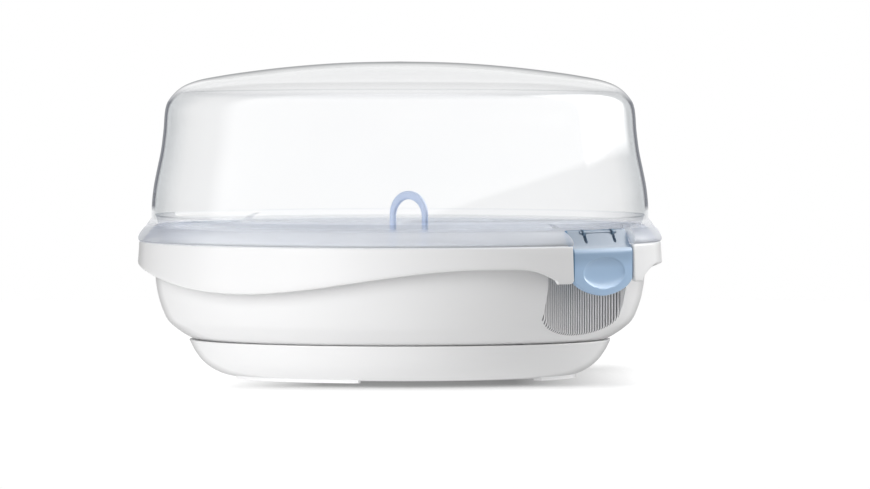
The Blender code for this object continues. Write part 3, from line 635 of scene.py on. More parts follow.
def make_dish():
    """The dish that stands on the table, with its neck and foot pads."""
    lip = (DISH_RADIUS - DISH_LIP_ROUND, DISH_LIP - DISH_LIP_ROUND)
    knots = at_shares(DISH_RADIUS, DISH_UNDERSIDE, DISH_LIP, DISH_RADIUS_SHARES, DISH_HEIGHT_SHARES)
    outside = smooth_line([(DISH_RADIUS, lip[1]), *knots], 5)
    inside = moved_aside(outside, DISH_WALL)[1:]
    outline = [
        (0.0, inside[-1][1]),
        *reversed(inside),
        (NECK_INSIDE, DISH_LIP - DISH_WALL),
        (NECK_INSIDE, FLOOR_TOP),
        (NECK_RADIUS, FLOOR_TOP),
        (NECK_RADIUS, DISH_LIP),
        *arc(lip, DISH_LIP_ROUND, 90, 0, 4)[:-1],
        *outside,
        (0.0, DISH_UNDERSIDE),
    ]
    dish = turned("water_dish", outline)
    pads = []
    for i in range(PAD_COUNT):
        start = PAD_START_DEGREES + 360 * i / PAD_COUNT
        end = start + PAD_ARC_DEGREES
        ring = arc((0.0, 0.0), PAD_RADIUS - PAD_WIDTH / 2, start, end, 40)
        ring += arc((0.0, 0.0), PAD_RADIUS + PAD_WIDTH / 2, end, start, 40)
        pads.append(prism("foot_pad", ring, 0.0, DISH_UNDERSIDE + DISH_WALL / 2))
    return smooth_shaded(cut(dish, pads, "UNION"))


# Bottle tray and handle


def inset(outline, distance):
    """A closed outline moved inward by a distance."""
    points = [Vector(point) for point in outline]
    area = sum(a.cross(b) for a, b in zip(points, points[1:] + points[:1]))
    moved = []
    for before, here, after in zip(points[-1:] + points, points, points[1:] + points[:1]):
        normal_in = (here - before).orthogonal().normalized()
        normal_out = (after - here).orthogonal().normalized()
        normal = (normal_in + normal_out).normalized()
        reach = copysign(max(normal.dot(normal_out), 0.5), area)
        moved.append(tuple(here + normal * distance / reach))
    return moved


def handle_outline():
    """The loop handle as seen from the front: outer line, then inner line back."""
    foot = TRAY_UNDER + TRAY_THICKNESS / 4
    outer_radius = HANDLE_WIDTH / 2
    inner_radius = outer_radius - HANDLE_LEG
    inner_top = HANDLE_TOP - HANDLE_BRIDGE
    line = []
    for side, radius, top in ((-1, outer_radius, HANDLE_TOP), (1, inner_radius, inner_top)):
        flare = (side * (radius + HANDLE_FLARE), foot)
        ankle = (side * radius, foot + HANDLE_FLARE)
        leg = bend(flare, ankle, (side * radius, foot + HANDLE_FLARE_HEIGHT), 8)
        loop = arc((0.0, top - radius), radius, 90 - 90 * side, 90 + 90 * side, 32)
        for point in leg + loop + mirrored(leg):
            if not line or dist(point, line[-1]) > MERGE_DISTANCE:
                line.append(point)
    return line


def make_handle():
    """The loop handle, a plate of even thickness with rounded edges."""
    outline = handle_outline()
    count = len(outline)
    layers = []
    for angle in EDGE_ROUND_ANGLES:
        aside = HANDLE_EDGE_ROUND * (1 - sin(angle))
        layers.append((aside, HANDLE_THICKNESS / 2 - HANDLE_EDGE_ROUND * (1 - cos(angle))))
    verts = []
    for aside, y in [(aside, -depth) for aside, depth in layers] + layers[::-1]:
        verts += [(a + HANDLE_OFFSET, y, b) for a, b in inset(outline, aside)]
    faces = [tuple(range(count - 1, -1, -1)), tuple(range(len(verts) - count, len(verts)))]
    for k in range(2 * len(layers) - 1):
        faces += band(k * count, (k + 1) * count, count)
    return put_mesh("loop", verts, faces)


def slot_cutter(centre, angle, length):
    """Cutter for a steam slot with round ends in the tray, along an angle."""
    half = (length - SLOT_WIDTH) / 2
    outline = arc((half, 0.0), SLOT_WIDTH / 2, -90, 90, 8) + arc((-half, 0.0), SLOT_WIDTH / 2, 90, 270, 8)
    placed = [polar(hypot(a, b), angle + atan2(b, a), centre) for a, b in outline]
    return prism("steam_slot", placed, FLOOR_TOP - OVERRUN, FLOOR_TOP + OVERRUN)


def tray_outline():
    """Section of the tray, with its raised rim and the lip that sits in the neck."""
    lip_outside = NECK_INSIDE - TRAY_LIP_GAP
    lip_inside = lip_outside - TRAY_LIP_WIDTH
    lip_low = TRAY_UNDER - TRAY_LIP_DEPTH
    crest = (TRAY_RADIUS - TRAY_RIM_WIDTH / 2, TRAY_TOP + TRAY_RIM_HEIGHT - TRAY_RIM_WIDTH / 2)
    return [
        (0.0, TRAY_TOP),
        (TRAY_RADIUS - 2 * TRAY_RIM_WIDTH, TRAY_TOP),
        *arc(crest, TRAY_RIM_WIDTH / 2, 180, 0, 8),
        (TRAY_RADIUS, TRAY_TOP),
        (TRAY_RADIUS - TRAY_THICKNESS / 2, TRAY_UNDER),
        (lip_outside, TRAY_UNDER),
        (lip_outside, lip_low),
        (lip_inside, lip_low),
        (lip_inside, TRAY_UNDER),
        (0.0, TRAY_UNDER),
    ]


def make_tray():
    """The tray that bottles stand on, with ring seats, steam slots and a loop handle."""
    tray = turned("tray_plate", tray_outline())
    crest = (SEAT_RADIUS + SEAT_RIM / 2, TRAY_TOP + SEAT_HEIGHT - SEAT_RIM / 2)
    low = TRAY_TOP - TRAY_THICKNESS / 2
    section = [(SEAT_RADIUS, low), *arc(crest, SEAT_RIM / 2, 180, 0, 6), (SEAT_RADIUS + SEAT_RIM, low)]
    rings = []
    slots = []
    for i in range(SEAT_COUNT):
        angle = FULL_TURN * (i + 0.5) / SEAT_COUNT
        centre = polar(SEAT_CIRCLE, angle)
        ring = turned("seat_ring", section, True, RING_TURN)
        for vert in ring.data.vertices:
            vert.co.x += centre[0]
            vert.co.y += centre[1]
        rings.append(ring)
        for j in range(SLOTS_IN_SEAT):
            shift = (j - (SLOTS_IN_SEAT - 1) / 2) * SLOT_PITCH
            slots.append(slot_cutter(polar(shift, angle + pi / 2, centre), angle, SLOT_LENGTH))
        angle = FULL_TURN * i / SEAT_COUNT
        slots.append(slot_cutter(polar(EDGE_SLOT_CIRCLE, angle), angle, EDGE_SLOT_LENGTH))
    cut(tray, [*rings, make_handle()], "UNION")
    return smooth_shaded(cut(tray, slots))


# Lid


def lid_outline():
    """Section of the lid: dome, curved flange, and the tongue inside the rim."""
    foot = Vector((LID_WALL_RADIUS, LID_WALL_BASE))
    nose = Vector((FLANGE_RADIUS, FLANGE_SEAT + FLANGE_NOSE))
    run = nose - foot
    out = run.orthogonal().normalized() * FLANGE_STEP
    step = foot + run * FLANGE_STEP_SHARE
    crest = step + out
    low = (crest.x, crest.y - FLANGE_STEP)
    crown = [LID_WALL_RADIUS * share for share in LID_CROWN_SHARES]
    knots = [(radius, LID_TOP - sag(LID_CROWN_RADIUS, radius)) for radius in crown]
    knots += at_shares(LID_WALL_RADIUS, LID_WALL_BASE, LID_TOP, LID_RADIUS_SHARES, LID_HEIGHT_SHARES)
    outside = smooth_line([*knots, foot], 6)
    inside = moved_aside(outside, LID_WALL)[1:-1]
    tongue_outside = RIM_INNER_RADIUS - TONGUE_GAP
    tongue_inside = tongue_outside - TONGUE_THICKNESS
    tongue_low = COLLAR_TOP - TONGUE_REACH
    crotch_height = LID_WALL_BASE - 2 * FLANGE_THICKNESS
    shoulder = COLLAR_TOP + TONGUE_SHOULDER
    return [
        *outside,
        *bend(foot, (step.x - out.x, (foot.y + step.y) / 2), step, 6)[1:],
        *bend(step, crest, low, 4)[1:],
        *bend(low, (nose.x - FLANGE_STEP, (low[1] + nose.y) / 2), nose, 8)[1:],
        (FLANGE_RADIUS - FLANGE_NOSE / 6, nose.y - FLANGE_NOSE * 2 / 3),
        (FLANGE_RADIUS - FLANGE_NOSE / 2, FLANGE_SEAT),
        (FLANGE_RADIUS - 2 * FLANGE_NOSE, FLANGE_SEAT),
        (LID_WALL_RADIUS - FLANGE_THICKNESS, crotch_height),
        (NOTCH_RADIUS - SEAT_GAP, crotch_height - FLANGE_NOSE),
        (tongue_outside, shoulder),
        (tongue_outside, tongue_low),
        (tongue_inside, tongue_low),
        (tongue_inside, shoulder),
        (LID_WALL_RADIUS - LID_WALL - FLANGE_THICKNESS, crotch_height),
        (LID_WALL_RADIUS - LID_WALL, LID_WALL_BASE + LID_WALL),
        *reversed(inside),
        (0.0, LID_TOP - LID_WALL),
    ]


def notch_cutter():
    """Cutter for the clip's notch in the flange at +X, with curved sides."""
    half = CLIP_GAP_HALF_WIDTH + FLANGE_END_GAP
    right = [(half, FLANGE_SEAT - OVERRUN / 2)]
    for a, b in arc((1.0, 0.0), 1.0, 180, 90, 12):
        right.append((half + FLANGE_END_WIDTH * a, FLANGE_SEAT + (NOTCH_TOP - FLANGE_SEAT) * b))
    outline = right + mirrored(right)
    front = prism("notch", outline, NOTCH_RADIUS - 2 * OVERRUN, COLLAR_RADIUS + OVERRUN, OUTWARD)
    widest = half + FLANGE_END_WIDTH + OVERRUN
    sector = gap_cutter(NOTCH_RADIUS, widest, FLANGE_SEAT - OVERRUN, NOTCH_TOP + OVERRUN)
    return cut(front, [sector], "INTERSECT")


def rod(radius, half_length, centre):
    """A round rod along Y."""
    outline = arc((centre[0], centre[2]), radius, 0, 350, 35)
    return prism("rod", outline, centre[1] - half_length, centre[1] + half_length, SIDEWAYS)


def block(low, high):
    """A box between two corners, for a union or a cut."""
    outline = [(low[0], low[1]), (high[0], low[1]), (high[0], high[1]), (low[0], high[1])]
    return prism("block", outline, low[2], high[2])


def make_lid():
    """The lid, with notches for the clips and two hinge lugs in each notch."""
    lid = turned("clear_lid", lid_outline())
    cut(lid, both_sides(notch_cutter()))
    added = []
    removed = []
    for y in (-LUG_OFFSET, LUG_OFFSET):
        root = sqrt(NOTCH_RADIUS**2 - y**2) - LID_WALL / 2
        low = (root, y - LUG_WIDTH / 2, HINGE_HEIGHT - LUG_ROUND / 2)
        high = (HINGE_RADIUS, y + LUG_WIDTH / 2, HINGE_HEIGHT + LUG_ROUND / 2)
        centre = (HINGE_RADIUS, y, HINGE_HEIGHT)
        lug = cut(rod(LUG_ROUND, LUG_WIDTH / 2, centre), [block(low, high)], "UNION")
        added += both_sides(lug)
        removed += both_sides(rod(HINGE_BAR + LUG_SIDE_GAP, LUG_WIDTH, centre))
    cut(lid, added, "UNION")
    cut(lid, removed)
    return smooth_shaded(lid)


def sort_lid_faces(lid):
    """Gives the lid's faces their material: clear, frosted or the lugs' painted shade, outside or inside.
    """
    for face in lid.data.polygons:
        middle = face.center
        is_outer = face.normal.dot(Vector((middle.x, middle.y, middle.z - LID_WALL_BASE))) > 0
        if middle.z > LID_WALL_BASE - MERGE_DISTANCE:
            face.material_index = 0 if is_outer else 2
        elif abs(middle.x) > NOTCH_RADIUS and abs(middle.y) < LUG_OFFSET + LUG_WIDTH:
            face.material_index = 3
        else:
            face.material_index = 1 if is_outer else 4


# Clips


def clip_face_line():
    """Outer line of a clip through its middle, in rising height."""
    knots = []
    low = CLIP_KNEE - CLIP_KNEE_ROUND
    for i in range(9):
        height = CLIP_BOTTOM + (low - CLIP_BOTTOM) * i / 8
        knots.append((CLIP_FACE - sag(CLIP_BOW, max(CLIP_BOW_HEIGHT - height, 0.0)), height))
    knee = [(CLIP_FACE - CLIP_KNEE_ROUND / 4, CLIP_KNEE)]
    knee.append((CLIP_FACE - CLIP_KNEE_ROUND, CLIP_KNEE + CLIP_KNEE_ROUND))
    return smooth_line([*knots, *knee, (CLIP_TOP_FACE, CLIP_TOP)], 8)


def clip_inner_line():
    """Inner line of a clip through its middle, in rising height."""
    return [
        (CLIP_FACE - CLIP_THICKNESS, CLIP_BOTTOM),
        (CLIP_FACE - CLIP_THICKNESS, CLIP_KNEE - CLIP_KNEE_ROUND),
        (CLIP_NECK, HINGE_HEIGHT - HINGE_BAR),
        (CLIP_NECK, HINGE_HEIGHT),
        (CLIP_TOP_FACE - CLIP_TOP_THICKNESS, CLIP_TOP),
    ]


def reach_at(line, height):
    """How far out a line of (x, z) points in rising height lies at a height."""
    for low, high in zip(line, line[1:]):
        if height <= high[1]:
            share = (height - low[1]) / (high[1] - low[1])
            return low[0] + (high[0] - low[0]) * share
    return line[-1][0]


def clip_outline():
    """Front outline of a clip in (y, z), round at its top corners and its lower end."""
    corner = CLIP_THICKNESS / 3
    middle = CLIP_BOTTOM + CLIP_ROUND_HEIGHT
    outline = arc((CLIP_HALF_WIDTH - corner, CLIP_TOP - corner), corner, 0, 90, 6)
    outline += arc((corner - CLIP_HALF_WIDTH, CLIP_TOP - corner), corner, 90, 180, 6)
    for i in range(61):
        angle = pi * i / 60
        y = copysign(abs(cos(angle)) ** (2 / CLIP_ROUND_POWER), -cos(angle))
        z = sin(angle) ** (2 / CLIP_ROUND_POWER)
        outline.append((CLIP_HALF_WIDTH * y, middle - CLIP_ROUND_HEIGHT * z))
    return outline


def evenly(outline, count):
    """Points spaced evenly along a closed outline."""
    closed = [*outline, outline[0]]
    lengths = [dist(a, b) for a, b in zip(closed, closed[1:])]
    whole = sum(lengths)
    points = []
    walked = 0.0
    k = 0
    for i in range(count):
        wanted = whole * i / count
        while walked + lengths[k] < wanted:
            walked += lengths[k]
            k += 1
        share = (wanted - walked) / lengths[k]
        points.append(tuple(a + (b - a) * share for a, b in zip(closed[k], closed[k + 1])))
    return points


def thumb_depth(y, z):
    """Depth of the thumb recess at a place on a clip's face."""
    away = hypot(y / THUMB_HALF_WIDTH, (z - THUMB_HEIGHT) / THUMB_HALF_HEIGHT)
    return THUMB_DEPTH * sqrt(max(1 - away**2, 0.0))


def clip_rings():
    """Rings of points from a clip's border to its middle, each with its fall at the edge."""
    border = evenly(clip_outline(), CLIP_RING_POINTS)
    rings = []
    for i in range(CLIP_EDGE_STEPS + 1):
        angle = pi / 2 * i / CLIP_EDGE_STEPS
        ring = inset(border, CLIP_EDGE_ROUND * (1 - cos(angle)))
        rings.append((ring, CLIP_EDGE_ROUND * (1 - sin(angle))))
    rim = rings[-1][0]
    half_height = (CLIP_TOP - CLIP_BOTTOM) / 2
    spine = CLIP_HALF_WIDTH - half_height
    for i in range(1, CLIP_FACE_STEPS + 1):
        share = i / (CLIP_FACE_STEPS + MIDDLE_GAP)
        ring = []
        for y, z in rim:
            to = (min(max(y, -spine), spine), CLIP_BOTTOM + half_height)
            ring.append((y + (to[0] - y) * share, z + (to[1] - z) * share))
        rings.append((ring, 0.0))
    return rings


def clip_body(name):
    """The curved plate of the clip at +X, with rounded edges and a thumb recess."""
    rings = clip_rings()
    face_line = clip_face_line()
    inner_line = clip_inner_line()
    front = []
    back = []
    for ring, fall in rings:
        for y, z in ring:
            outer = reach_at(face_line, z) - sag(CLIP_CURVE, y)
            inner = reach_at(inner_line, z) - sag(CLIP_CURVE, y)
            fall_back = min(fall, (outer - inner) / 3)
            front.append((outer - fall_back - thumb_depth(y, z), y, z))
            back.append((inner + fall_back, y, z))
    count = CLIP_RING_POINTS
    shift = len(front)
    faces = band(0, shift, count)
    for k in range(len(rings) - 1):
        for quad in band(k * count, (k + 1) * count, count):
            faces += [quad, tuple(shift + n for n in reversed(quad))]
    faces += [tuple(range(shift - count, shift)), tuple(range(2 * shift - 1, 2 * shift - count - 1, -1))]
    return put_mesh(name, front + back, faces)


def make_clip(name):
    """The clip at +X: its plate with two slots for the lugs, its hook and its hinge bar."""
    clip = clip_body(name)
    hook_top = RIM_UNDER - HOOK_PLAY
    hook_low = (KEEPER_RADIUS - HOOK_OVERLAP, -HOOK_HALF_WIDTH, hook_top - HOOK_THICKNESS)
    hook_high = (CLIP_FACE - CLIP_THICKNESS / 2, HOOK_HALF_WIDTH, hook_top)
    cut(clip, [block(hook_low, hook_high)], "UNION")
    half_slot = LUG_WIDTH / 2 + LUG_SIDE_GAP
    near = HINGE_RADIUS - LUG_ROUND - OVERRUN
    slots = []
    for y in (-LUG_OFFSET, LUG_OFFSET):
        low = CLIP_TOP - LUG_SLOT_LENGTH + half_slot
        outline = arc((y, low), half_slot, 180, 360, 10)
        outline += [(y + half_slot, CLIP_TOP + OVERRUN), (y - half_slot, CLIP_TOP + OVERRUN)]
        slots.append(prism("slot", outline, near, CLIP_FACE + OVERRUN, OUTWARD))
    cut(clip, slots)
    half_bar = LUG_OFFSET + LUG_WIDTH + HINGE_BAR
    bar = rod(HINGE_BAR, half_bar, (HINGE_RADIUS, 0.0, HINGE_HEIGHT))
    return smooth_shaded(cut(clip, [bar], "UNION"))


def sort_clip_faces(clip):
    """Gives the rounded sides of a dressed clip the darker material, painted shade for the narrow gaps
    beside the clip.
    """
    for face in clip.data.polygons:
        face.material_index = 1 if abs(face.center.y) > CLIP_HALF_WIDTH - CLIP_EDGE_ROUND else 0


# Materials


def node(tree, kind, inputs, **settings):
    """The outputs of a new shader node. Each input is a constant or a socket.

    Functions that are given a socket add their node to its tree, which is its id_data.
    """
    made = tree.nodes.new("ShaderNode" + kind)
    for name, value in settings.items():
        setattr(made, name, value)
    for name, value in inputs.items():
        socket = made.inputs[name]
        if isinstance(value, bpy.types.NodeSocket):
            tree.links.new(value, socket)
        else:
            socket.default_value = (*value, 1.0) if socket.type == "RGBA" else value
    return made.outputs


def new_material(name):
    """A material with an empty node tree, and that tree."""
    made = bpy.data.materials.new(name)
    made.use_nodes = True
    made.node_tree.nodes.clear()
    return made, made.node_tree


def own_place(tree):
    """The place in the piece's own coordinates."""
    return node(tree, "TexCoord", {})["Object"]


def parts_of(vector):
    """The X, Y and Z of a vector."""
    return node(vector.id_data, "SeparateXYZ", {"Vector": vector})


def height_of(tree):
    """Height of a place in its piece, in metres."""
    return parts_of(own_place(tree))["Z"]


def normal_of(tree):
    """The X, Y and Z of a face's direction."""
    return parts_of(node(tree, "NewGeometry", {})["Normal"])


def facing_of(tree):
    """How edge on a face is seen, from 0 to 1."""
    return node(tree, "LayerWeight", {"Blend": 0.5})["Facing"]


def noise(tree, size, detail):
    """Noise with features of a size in metres."""
    return node(tree, "TexNoise", {"Vector": own_place(tree), "Scale": 1 / size, "Detail": detail})["Fac"]


def spread(source, start, end, low=0.0, high=1.0):
    """A value that goes from low to high while its source goes from start to end."""
    inputs = {"Value": source, "From Min": start, "From Max": end, "To Min": low, "To Max": high}
    return node(source.id_data, "MapRange", inputs)["Result"]


def number(operation, first, second=0.0):
    """A sum, product or other result of two values."""
    return node(first.id_data, "Math", {0: first, 1: second}, operation=operation)["Value"]


def product(first, second):
    """The product of two values."""
    return number("MULTIPLY", first, second)


def towards(ray, direction):
    """How far a ray points along a direction, from -1 to 1."""
    return node(ray.id_data, "VectorMath", {0: ray, 1: direction}, operation="DOT_PRODUCT")["Value"]


def blend(factor, first, second, kind="RGBA", way="MIX"):
    """A mix of two colours, or of two values if the kind is FLOAT."""
    inputs = {"Factor": factor, "A": first, "B": second}
    return node(factor.id_data, "Mix", inputs, data_type=kind, blend_type=way)["Result"]


def clouded(tree, size, detail, colours):
    """A colour between two, in clouds of a size in metres."""
    return blend(noise(tree, size, detail), *colours)


def bumpy(source, strength):
    """A shading normal with fine bumps that follow a source."""
    inputs = {"Height": source, "Strength": strength, "Distance": BUMP_HEIGHT}
    return node(source.id_data, "Bump", inputs)["Normal"]


def mix(factor, first, second):
    """A mix of two shaders, from the first at 0 to the second at 1."""
    return node(factor.id_data, "MixShader", {"Fac": factor, 1: first, 2: second})["Shader"]


def show(shader):
    """Makes a shader the surface of its material."""
    node(shader.id_data, "OutputMaterial", {"Surface": shader})


def moulded_plastic(name, colours, roughness, edge_shade, coat=0.0, painted_shades=()):
    """Opaque moulded plastic: faint flow clouds in colour and gloss, a slight waviness, and painted shade
    at its outline where it is seen edge on.

    Painted shades are (share, low, high): the colour goes down to that share between two heights.
    """
    made, tree = new_material(name)
    waves = noise(tree, 0.012, 2.0)
    colour = clouded(tree, 0.035, 3.0, colours)
    # Painted shade: the colour darkens to a share between two heights
    for share, low, high in painted_shades:
        shaded_part = spread(height_of(tree), low, high)
        colour = blend(shaded_part, colour, (share, share, share), way="MULTIPLY")
    looks = {
        "Base Color": colour,
        "Roughness": spread(waves, *NOISE_RANGE, roughness - 0.01, roughness + 0.01),
        "Coat Weight": coat,
        "Coat Roughness": COAT_ROUGHNESS,
        "Normal": bumpy(waves, 0.2),
    }
    plastic = node(tree, "BsdfPrincipled", looks)["BSDF"]
    # Painted shade at the outline, where the plastic is seen edge on
    dark = [part * PAINTED_EDGE_SHADE for part in colours[0]]
    shade = node(tree, "BsdfDiffuse", {"Color": dark})["BSDF"]
    edge = spread(facing_of(tree), 0.78, 0.90, 0.0, edge_shade)
    show(mix(edge, plastic, shade))
    return made


def see_through(colours, factors):
    """A transparent shader with a colour that goes from one to the next by each factor."""
    shown = colours[0]
    for colour, factor in zip(colours[1:], factors):
        shown = blend(factor, shown, colour)
    return node(shown.id_data, "BsdfTransparent", {"Color": shown})["BSDF"]


def one_way(shown, shade):
    """Lets a wall act once: where a ray leaves it again, and for light on its way through, it is clear."""
    tree = shown.id_data
    leaving = node(tree, "NewGeometry", {})["Backfacing"]
    shadow_ray = node(tree, "LightPath", {})["Is Shadow Ray"]
    clear = node(tree, "BsdfTransparent", {})["BSDF"]
    shadow = node(tree, "BsdfTransparent", {"Color": shade})["BSDF"]
    show(mix(shadow_ray, mix(leaving, shown, clear), shadow))


def even_lean(tree):
    """A shading normal for the dome's wall that leans back evenly with height, for clean reflections."""
    normal = normal_of(tree)
    height = height_of(tree)
    lean = spread(height, LID_WALL_BASE, LEAN_TOP, 0.0, WALL_LEAN)
    own = spread(height, *OWN_NORMAL_RANGE)
    leaning = blend(own, lean, normal["Z"], "FLOAT")
    joined = node(tree, "CombineXYZ", {"X": normal["X"], "Y": normal["Y"], "Z": leaning})["Vector"]
    return node(tree, "VectorMath", {0: joined}, operation="NORMALIZE")["Vector"]


def soft_ring(height, middle, half_width):
    """A soft ring round a piece: one at the middle height, and nothing a half width away."""
    away = number("ABSOLUTE", number("SUBTRACT", height, middle))
    return spread(away, 0.0, half_width, 1.0, 0.0)


def clear_plastic(name, outside):
    """Clear plastic of the dome with painted shade: grey where edge on, partly also for its longer way
    through the wall, a grey ring at the shoulder, and dark outline lines, wide at the sides and fine on
    top.
    """
    made, tree = new_material(name)
    facing = facing_of(tree)
    height = height_of(tree)
    level = spread(number("ABSOLUTE", normal_of(tree)["Z"]), 0.45, 0.90)
    wall = spread(level, 0.0, 1.0, 1.0, 0.0)
    thick = spread(noise(tree, 0.05, 2.0), *NOISE_RANGE)
    # Painted shade: grey where the wall slants, partly also for its longer way through the wall
    painted_tone = product(spread(facing, 0.55, 0.80), wall)
    gloss = node(tree, "Fresnel", {"IOR": CLEAR_IOR})["Fac"]
    shine = {"Roughness": CLEAR_ROUGHNESS}
    if outside:
        # Painted shade: dark lines at the outline and a grey ring at the shoulder
        foot = spread(height, LID_WALL_BASE + 0.0040, LID_WALL_BASE + 0.0070)
        side_shade_line = product(product(spread(facing, 0.81, 0.86), wall), foot)
        top_shade_line = product(spread(facing, 0.90, 0.96), level)
        shoulder = soft_ring(height, *SHOULDER_SHADE_RING)
        glass = see_through(CLEAR_OUTSIDE, (thick, painted_tone, shoulder, side_shade_line, top_shade_line))
        shine["Normal"] = even_lean(tree)
    else:
        # Painted shade: a grey ring at the inner shoulder
        shoulder = soft_ring(height, *INNER_SHOULDER_SHADE_RING)
        glass = see_through(CLEAR_INSIDE, (thick, painted_tone, shoulder))
        gloss = product(gloss, INNER_GLOSS)
    gloss = number("MINIMUM", gloss, GLOSS_LIMIT)
    one_way(mix(gloss, glass, node(tree, "BsdfGlossy", shine)["BSDF"]), CLEAR_SHADOW)
    return made


def frosted_plastic(name, milk, grain, fade_start, fade_end):
    """Frosted plastic of the flange: a milky body that things behind show through, with painted shade:
    darker where seen edge on, a darker band near the dome and a dark line at its rim on the collar.

    It grows clear towards the dome, between two distances under the dome's foot.
    """
    made, tree = new_material(name)
    fine = noise(tree, 0.0004, 3.0)
    height = height_of(tree)
    edge = spread(facing_of(tree), 0.40, 0.80)
    looks = {
        "Base Color": blend(edge, clouded(tree, 0.02, 3.0, FROST_GREYS), FROST_EDGE_SHADE),
        "Roughness": spread(fine, *NOISE_RANGE, 0.32, 0.38),
        "Normal": bumpy(fine, grain),
    }
    milky = node(tree, "BsdfPrincipled", looks)["BSDF"]
    # Painted shade: a dark line at the rim where the flange sits on the collar, and a darker band near the
    # dome
    rim = spread(height, COLLAR_TOP + 0.0006, COLLAR_TOP + 0.0012, 1.0, 0.0)
    fade = spread(height, LID_WALL_BASE - fade_start, LID_WALL_BASE - fade_end, 1.0, 0.0)
    root_shade = spread(height, LID_WALL_BASE - 0.0042, LID_WALL_BASE - 0.0036)
    root_shade = product(root_shade, spread(fade, 0.0, 0.2))
    glass = see_through(FROST_GLASS, (edge, root_shade, rim))
    one_way(mix(product(fade, milk), glass, milky), FROST_SHADOW)
    return made


def lug_painted_shade():
    """The clear hinge lugs, painted dark blue for the shade deep in the clip's slots."""
    made, tree = new_material("lug_painted_shade")
    looks = {"Base Color": clouded(tree, 0.004, 2.0, LUG_SHADE_BLUES), "Roughness": LUG_ROUGHNESS}
    show(node(tree, "BsdfPrincipled", looks)["BSDF"])
    return made


# Studio


def place_by_view(right, forward, up):
    """A place from the object's middle, in metres to the right, away from the camera and up."""
    x, y = cos(CAMERA_AZIMUTH), sin(CAMERA_AZIMUTH)
    return Vector((right * x - forward * y, right * y + forward * x, up))


def set_down(item, place, aim):
    """Puts a camera or a lamp at a place and points it at another."""
    item.location = place
    item.rotation_euler = (aim - place).to_track_quat("-Z", "Y").to_euler()


def make_camera():
    """The camera of the photo, far off and a little above the table."""
    data = bpy.data.cameras.new("camera")
    data.lens = CAMERA_LENS
    camera = put_object("camera", data)
    aim = place_by_view(CAMERA_ASIDE, 0.0, CAMERA_HEIGHT)
    back = CAMERA_DISTANCE * cos(CAMERA_ELEVATION)
    up = CAMERA_DISTANCE * sin(CAMERA_ELEVATION)
    set_down(camera, aim + place_by_view(0.0, -back, up), aim)
    bpy.context.scene.camera = camera


def lamp(name, place, size, power):
    """A square soft light that doesn't show in reflections."""
    data = bpy.data.lights.new(name, "AREA")
    data.size = size
    data.energy = power
    item = put_object(name, data)
    item.visible_glossy = False
    set_down(item, place_by_view(*place), Vector((0.0, 0.0, LIGHT_AIM_HEIGHT)))
    return item


def make_floor():
    """A pale table. The camera sees it white, apart from the shadow near the object, which ambient
    occlusion paints into its glow; painted pools of light lift that shadow left and right, and for other
    rays it glows as painted bounce light, brighter on the left.
    """
    far = FLOOR_HALF_WIDTH
    corners = [(-far, -far, 0.0), (far, -far, 0.0), (far, far, 0.0), (-far, far, 0.0)]
    floor = put_mesh("table", corners, [(0, 1, 2, 3)])
    made, tree = new_material("table_white")
    place = own_place(tree)
    to_left = towards(place, place_by_view(-1.0, 0.0, 0.0))
    open_sky = node(tree, "AmbientOcclusion", {"Distance": FLOOR_SHADE_REACH}, samples=8)["AO"]
    shaded = spread(open_sky, 0.47, 0.87, 0.05, 1.0)
    # Painted pools of light that lift the shadow to the left and the right of the object
    left_light_pool = spread(to_left, 0.036, 0.100)
    right_light_pool = spread(to_left, -0.135, -0.056, 1.0, 0.0)
    light_pools = number("MAXIMUM", left_light_pool, right_light_pool)
    seen = product(number("MAXIMUM", shaded, light_pools), FLOOR_GLOW)
    # Painted bounce light: the table glows for other rays, brighter on the left
    painted_bounce = spread(to_left, -0.10, 0.10, 0.50, FLOOR_BOUNCE)
    camera_ray = node(tree, "LightPath", {})["Is Camera Ray"]
    painted_tone = node(tree, "Emission", {"Strength": blend(camera_ray, painted_bounce, seen, "FLOAT")})["Emission"]
    paper = node(tree, "BsdfDiffuse", {"Color": [FLOOR_GREY] * 3})["BSDF"]
    table = node(tree, "AddShader", {0: paper, 1: painted_tone})["Shader"]
    away = node(tree, "VectorMath", {0: place}, operation="LENGTH")["Value"]
    gone = node(tree, "BsdfTransparent", {})["BSDF"]
    show(mix(spread(away, 0.60, 1.20), table, gone))
    floor.data.materials.append(made)
    return floor


def reflected_studio(tree):
    """Brightness of the studio in reflections: bright at the left and above, dark low on the right."""
    ray = node(tree, "TexCoord", {})["Generated"]
    right = towards(ray, place_by_view(1.0, 0.0, 0.0))
    away = towards(ray, place_by_view(0.0, 1.0, 0.0))
    up = towards(ray, (0.0, 0.0, 1.0))
    left_edge = spread(right, -0.02, 0.02, -0.20, 0.0)
    right_edge = spread(right, 0.0, 1.0, -0.03, 0.125)
    over = number("SUBTRACT", up, number("ADD", left_edge, right_edge))
    soft_box = spread(over, -0.01, 0.01, 0.10, 2.5)
    window = product(spread(away, 0.17, 0.20), spread(up, 0.10, 0.12, 0.0, 2.2))
    window = product(window, spread(right, 0.50, 0.54))
    front = number("ADD", soft_box, window)
    side = spread(number("ABSOLUTE", right), 0.20, 0.32, 1.1, 0.10)
    behind = product(side, spread(up, 0.40, 0.48, 1.0, 0.25))
    half = product(spread(away, 0.0, 0.2), spread(right, 0.50, 0.60, 1.0, 0.0))
    floor = spread(up, -0.12, -0.06, 0.9, 0.0)
    return number("MAXIMUM", blend(half, front, behind, "FLOAT"), floor)


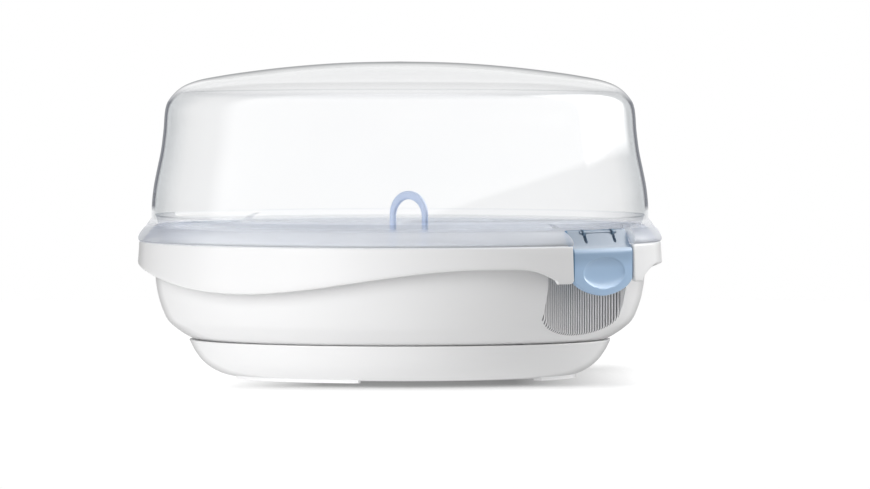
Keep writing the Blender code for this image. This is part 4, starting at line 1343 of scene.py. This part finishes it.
def make_world():
    """White for the camera, the studio for reflections and a low even light for the rest."""
    world = bpy.data.worlds.new("studio")
    bpy.context.scene.world = world
    world.use_nodes = True
    tree = world.node_tree
    tree.nodes.clear()
    lights = []
    for strength in (1.0, WORLD_LIGHT, reflected_studio(tree)):
        inputs = {"Color": (1.0, 1.0, 1.0), "Strength": strength}
        lights.append(node(tree, "Background", inputs)["Background"])
    white, even, boxes = lights
    path = node(tree, "LightPath", {})
    seen = number("MAXIMUM", path["Is Camera Ray"], path["Is Transmission Ray"])
    light = mix(path["Is Glossy Ray"], even, boxes)
    node(tree, "OutputWorld", {"Surface": mix(seen, light, white)})


def make_lights(floor):
    """A key light from the left, and three that leave the table out, so it keeps one soft shadow."""
    lamp("key", (-1.14, -1.52, 0.60), 1.2, KEY_POWER)
    side = lamp("side", (1.78, 0.45, 0.40), 1.0, SIDE_POWER)
    rim = lamp("rim", (1.25, 1.05, 1.50), 0.8, RIM_POWER)
    top = lamp("top", (-0.2, 0.6, 1.8), 1.6, TOP_POWER)
    left_out = bpy.data.collections.new("not_lit_from_behind")
    left_out.objects.link(floor)
    left_out.collection_objects[0].light_linking.link_state = "EXCLUDE"
    for item in (side, rim, top):
        item.light_linking.receiver_collection = left_out


def main():
    """Loads the part, dresses it and lights it."""
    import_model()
    make_camera()
    white = moulded_plastic("white_plastic", WHITES, 0.31, 0.40)
    groove = moulded_plastic("groove_painted_shade", GROOVE_PAINTED_SHADE_GREYS, 0.5, 0.0)
    dish_white = moulded_plastic("dish_white_plastic", WHITES, 0.32, 0.40)
    blue = moulded_plastic("tray_blue_plastic", TRAY_BLUES, 0.33, 0.10)
    clip_looks = [
        moulded_plastic("clip_blue_plastic", CLIP_BLUES, 0.24, 0.30, 0.08, CLIP_PAINTED_SHADES),
        moulded_plastic("clip_side_painted_shade", CLIP_SIDE_SHADE_BLUES, 0.24, 0.0),
    ]
    lid_looks = [
        clear_plastic("clear_plastic", True),
        frosted_plastic("frosted_plastic", 0.50, 0.3, 0.0050, -0.0006),
        clear_plastic("clear_plastic_inside", False),
        lug_painted_shade(),
        frosted_plastic("frosted_plastic_inside", 0.85, 0.0, 0.0058, 0.0012),
    ]
    sort_bowl_faces(dress(make_bowl(), [white, groove], "base", "base_white", "base_bowl"))
    dress(make_dish(), [dish_white], "base", "dish_white", "foot_dish")
    dress(make_tray(), [blue], "tray", "tray_blue", "bottle_tray")
    sort_lid_faces(dress(make_lid(), lid_looks, "lid", "lid_clear", "lid"))
    right = make_clip("right_clip")
    left = smooth_shaded(side_turned(right, "left_clip"))
    sort_clip_faces(dress(right, clip_looks, "clip_right", "clip_blue", "clip_right"))
    sort_clip_faces(dress(left, clip_looks, "clip_left", "clip_blue", "clip_left"))
    floor = make_floor()
    make_world()
    make_lights(floor)
    bpy.context.scene.view_settings.view_transform = "Standard"


main()
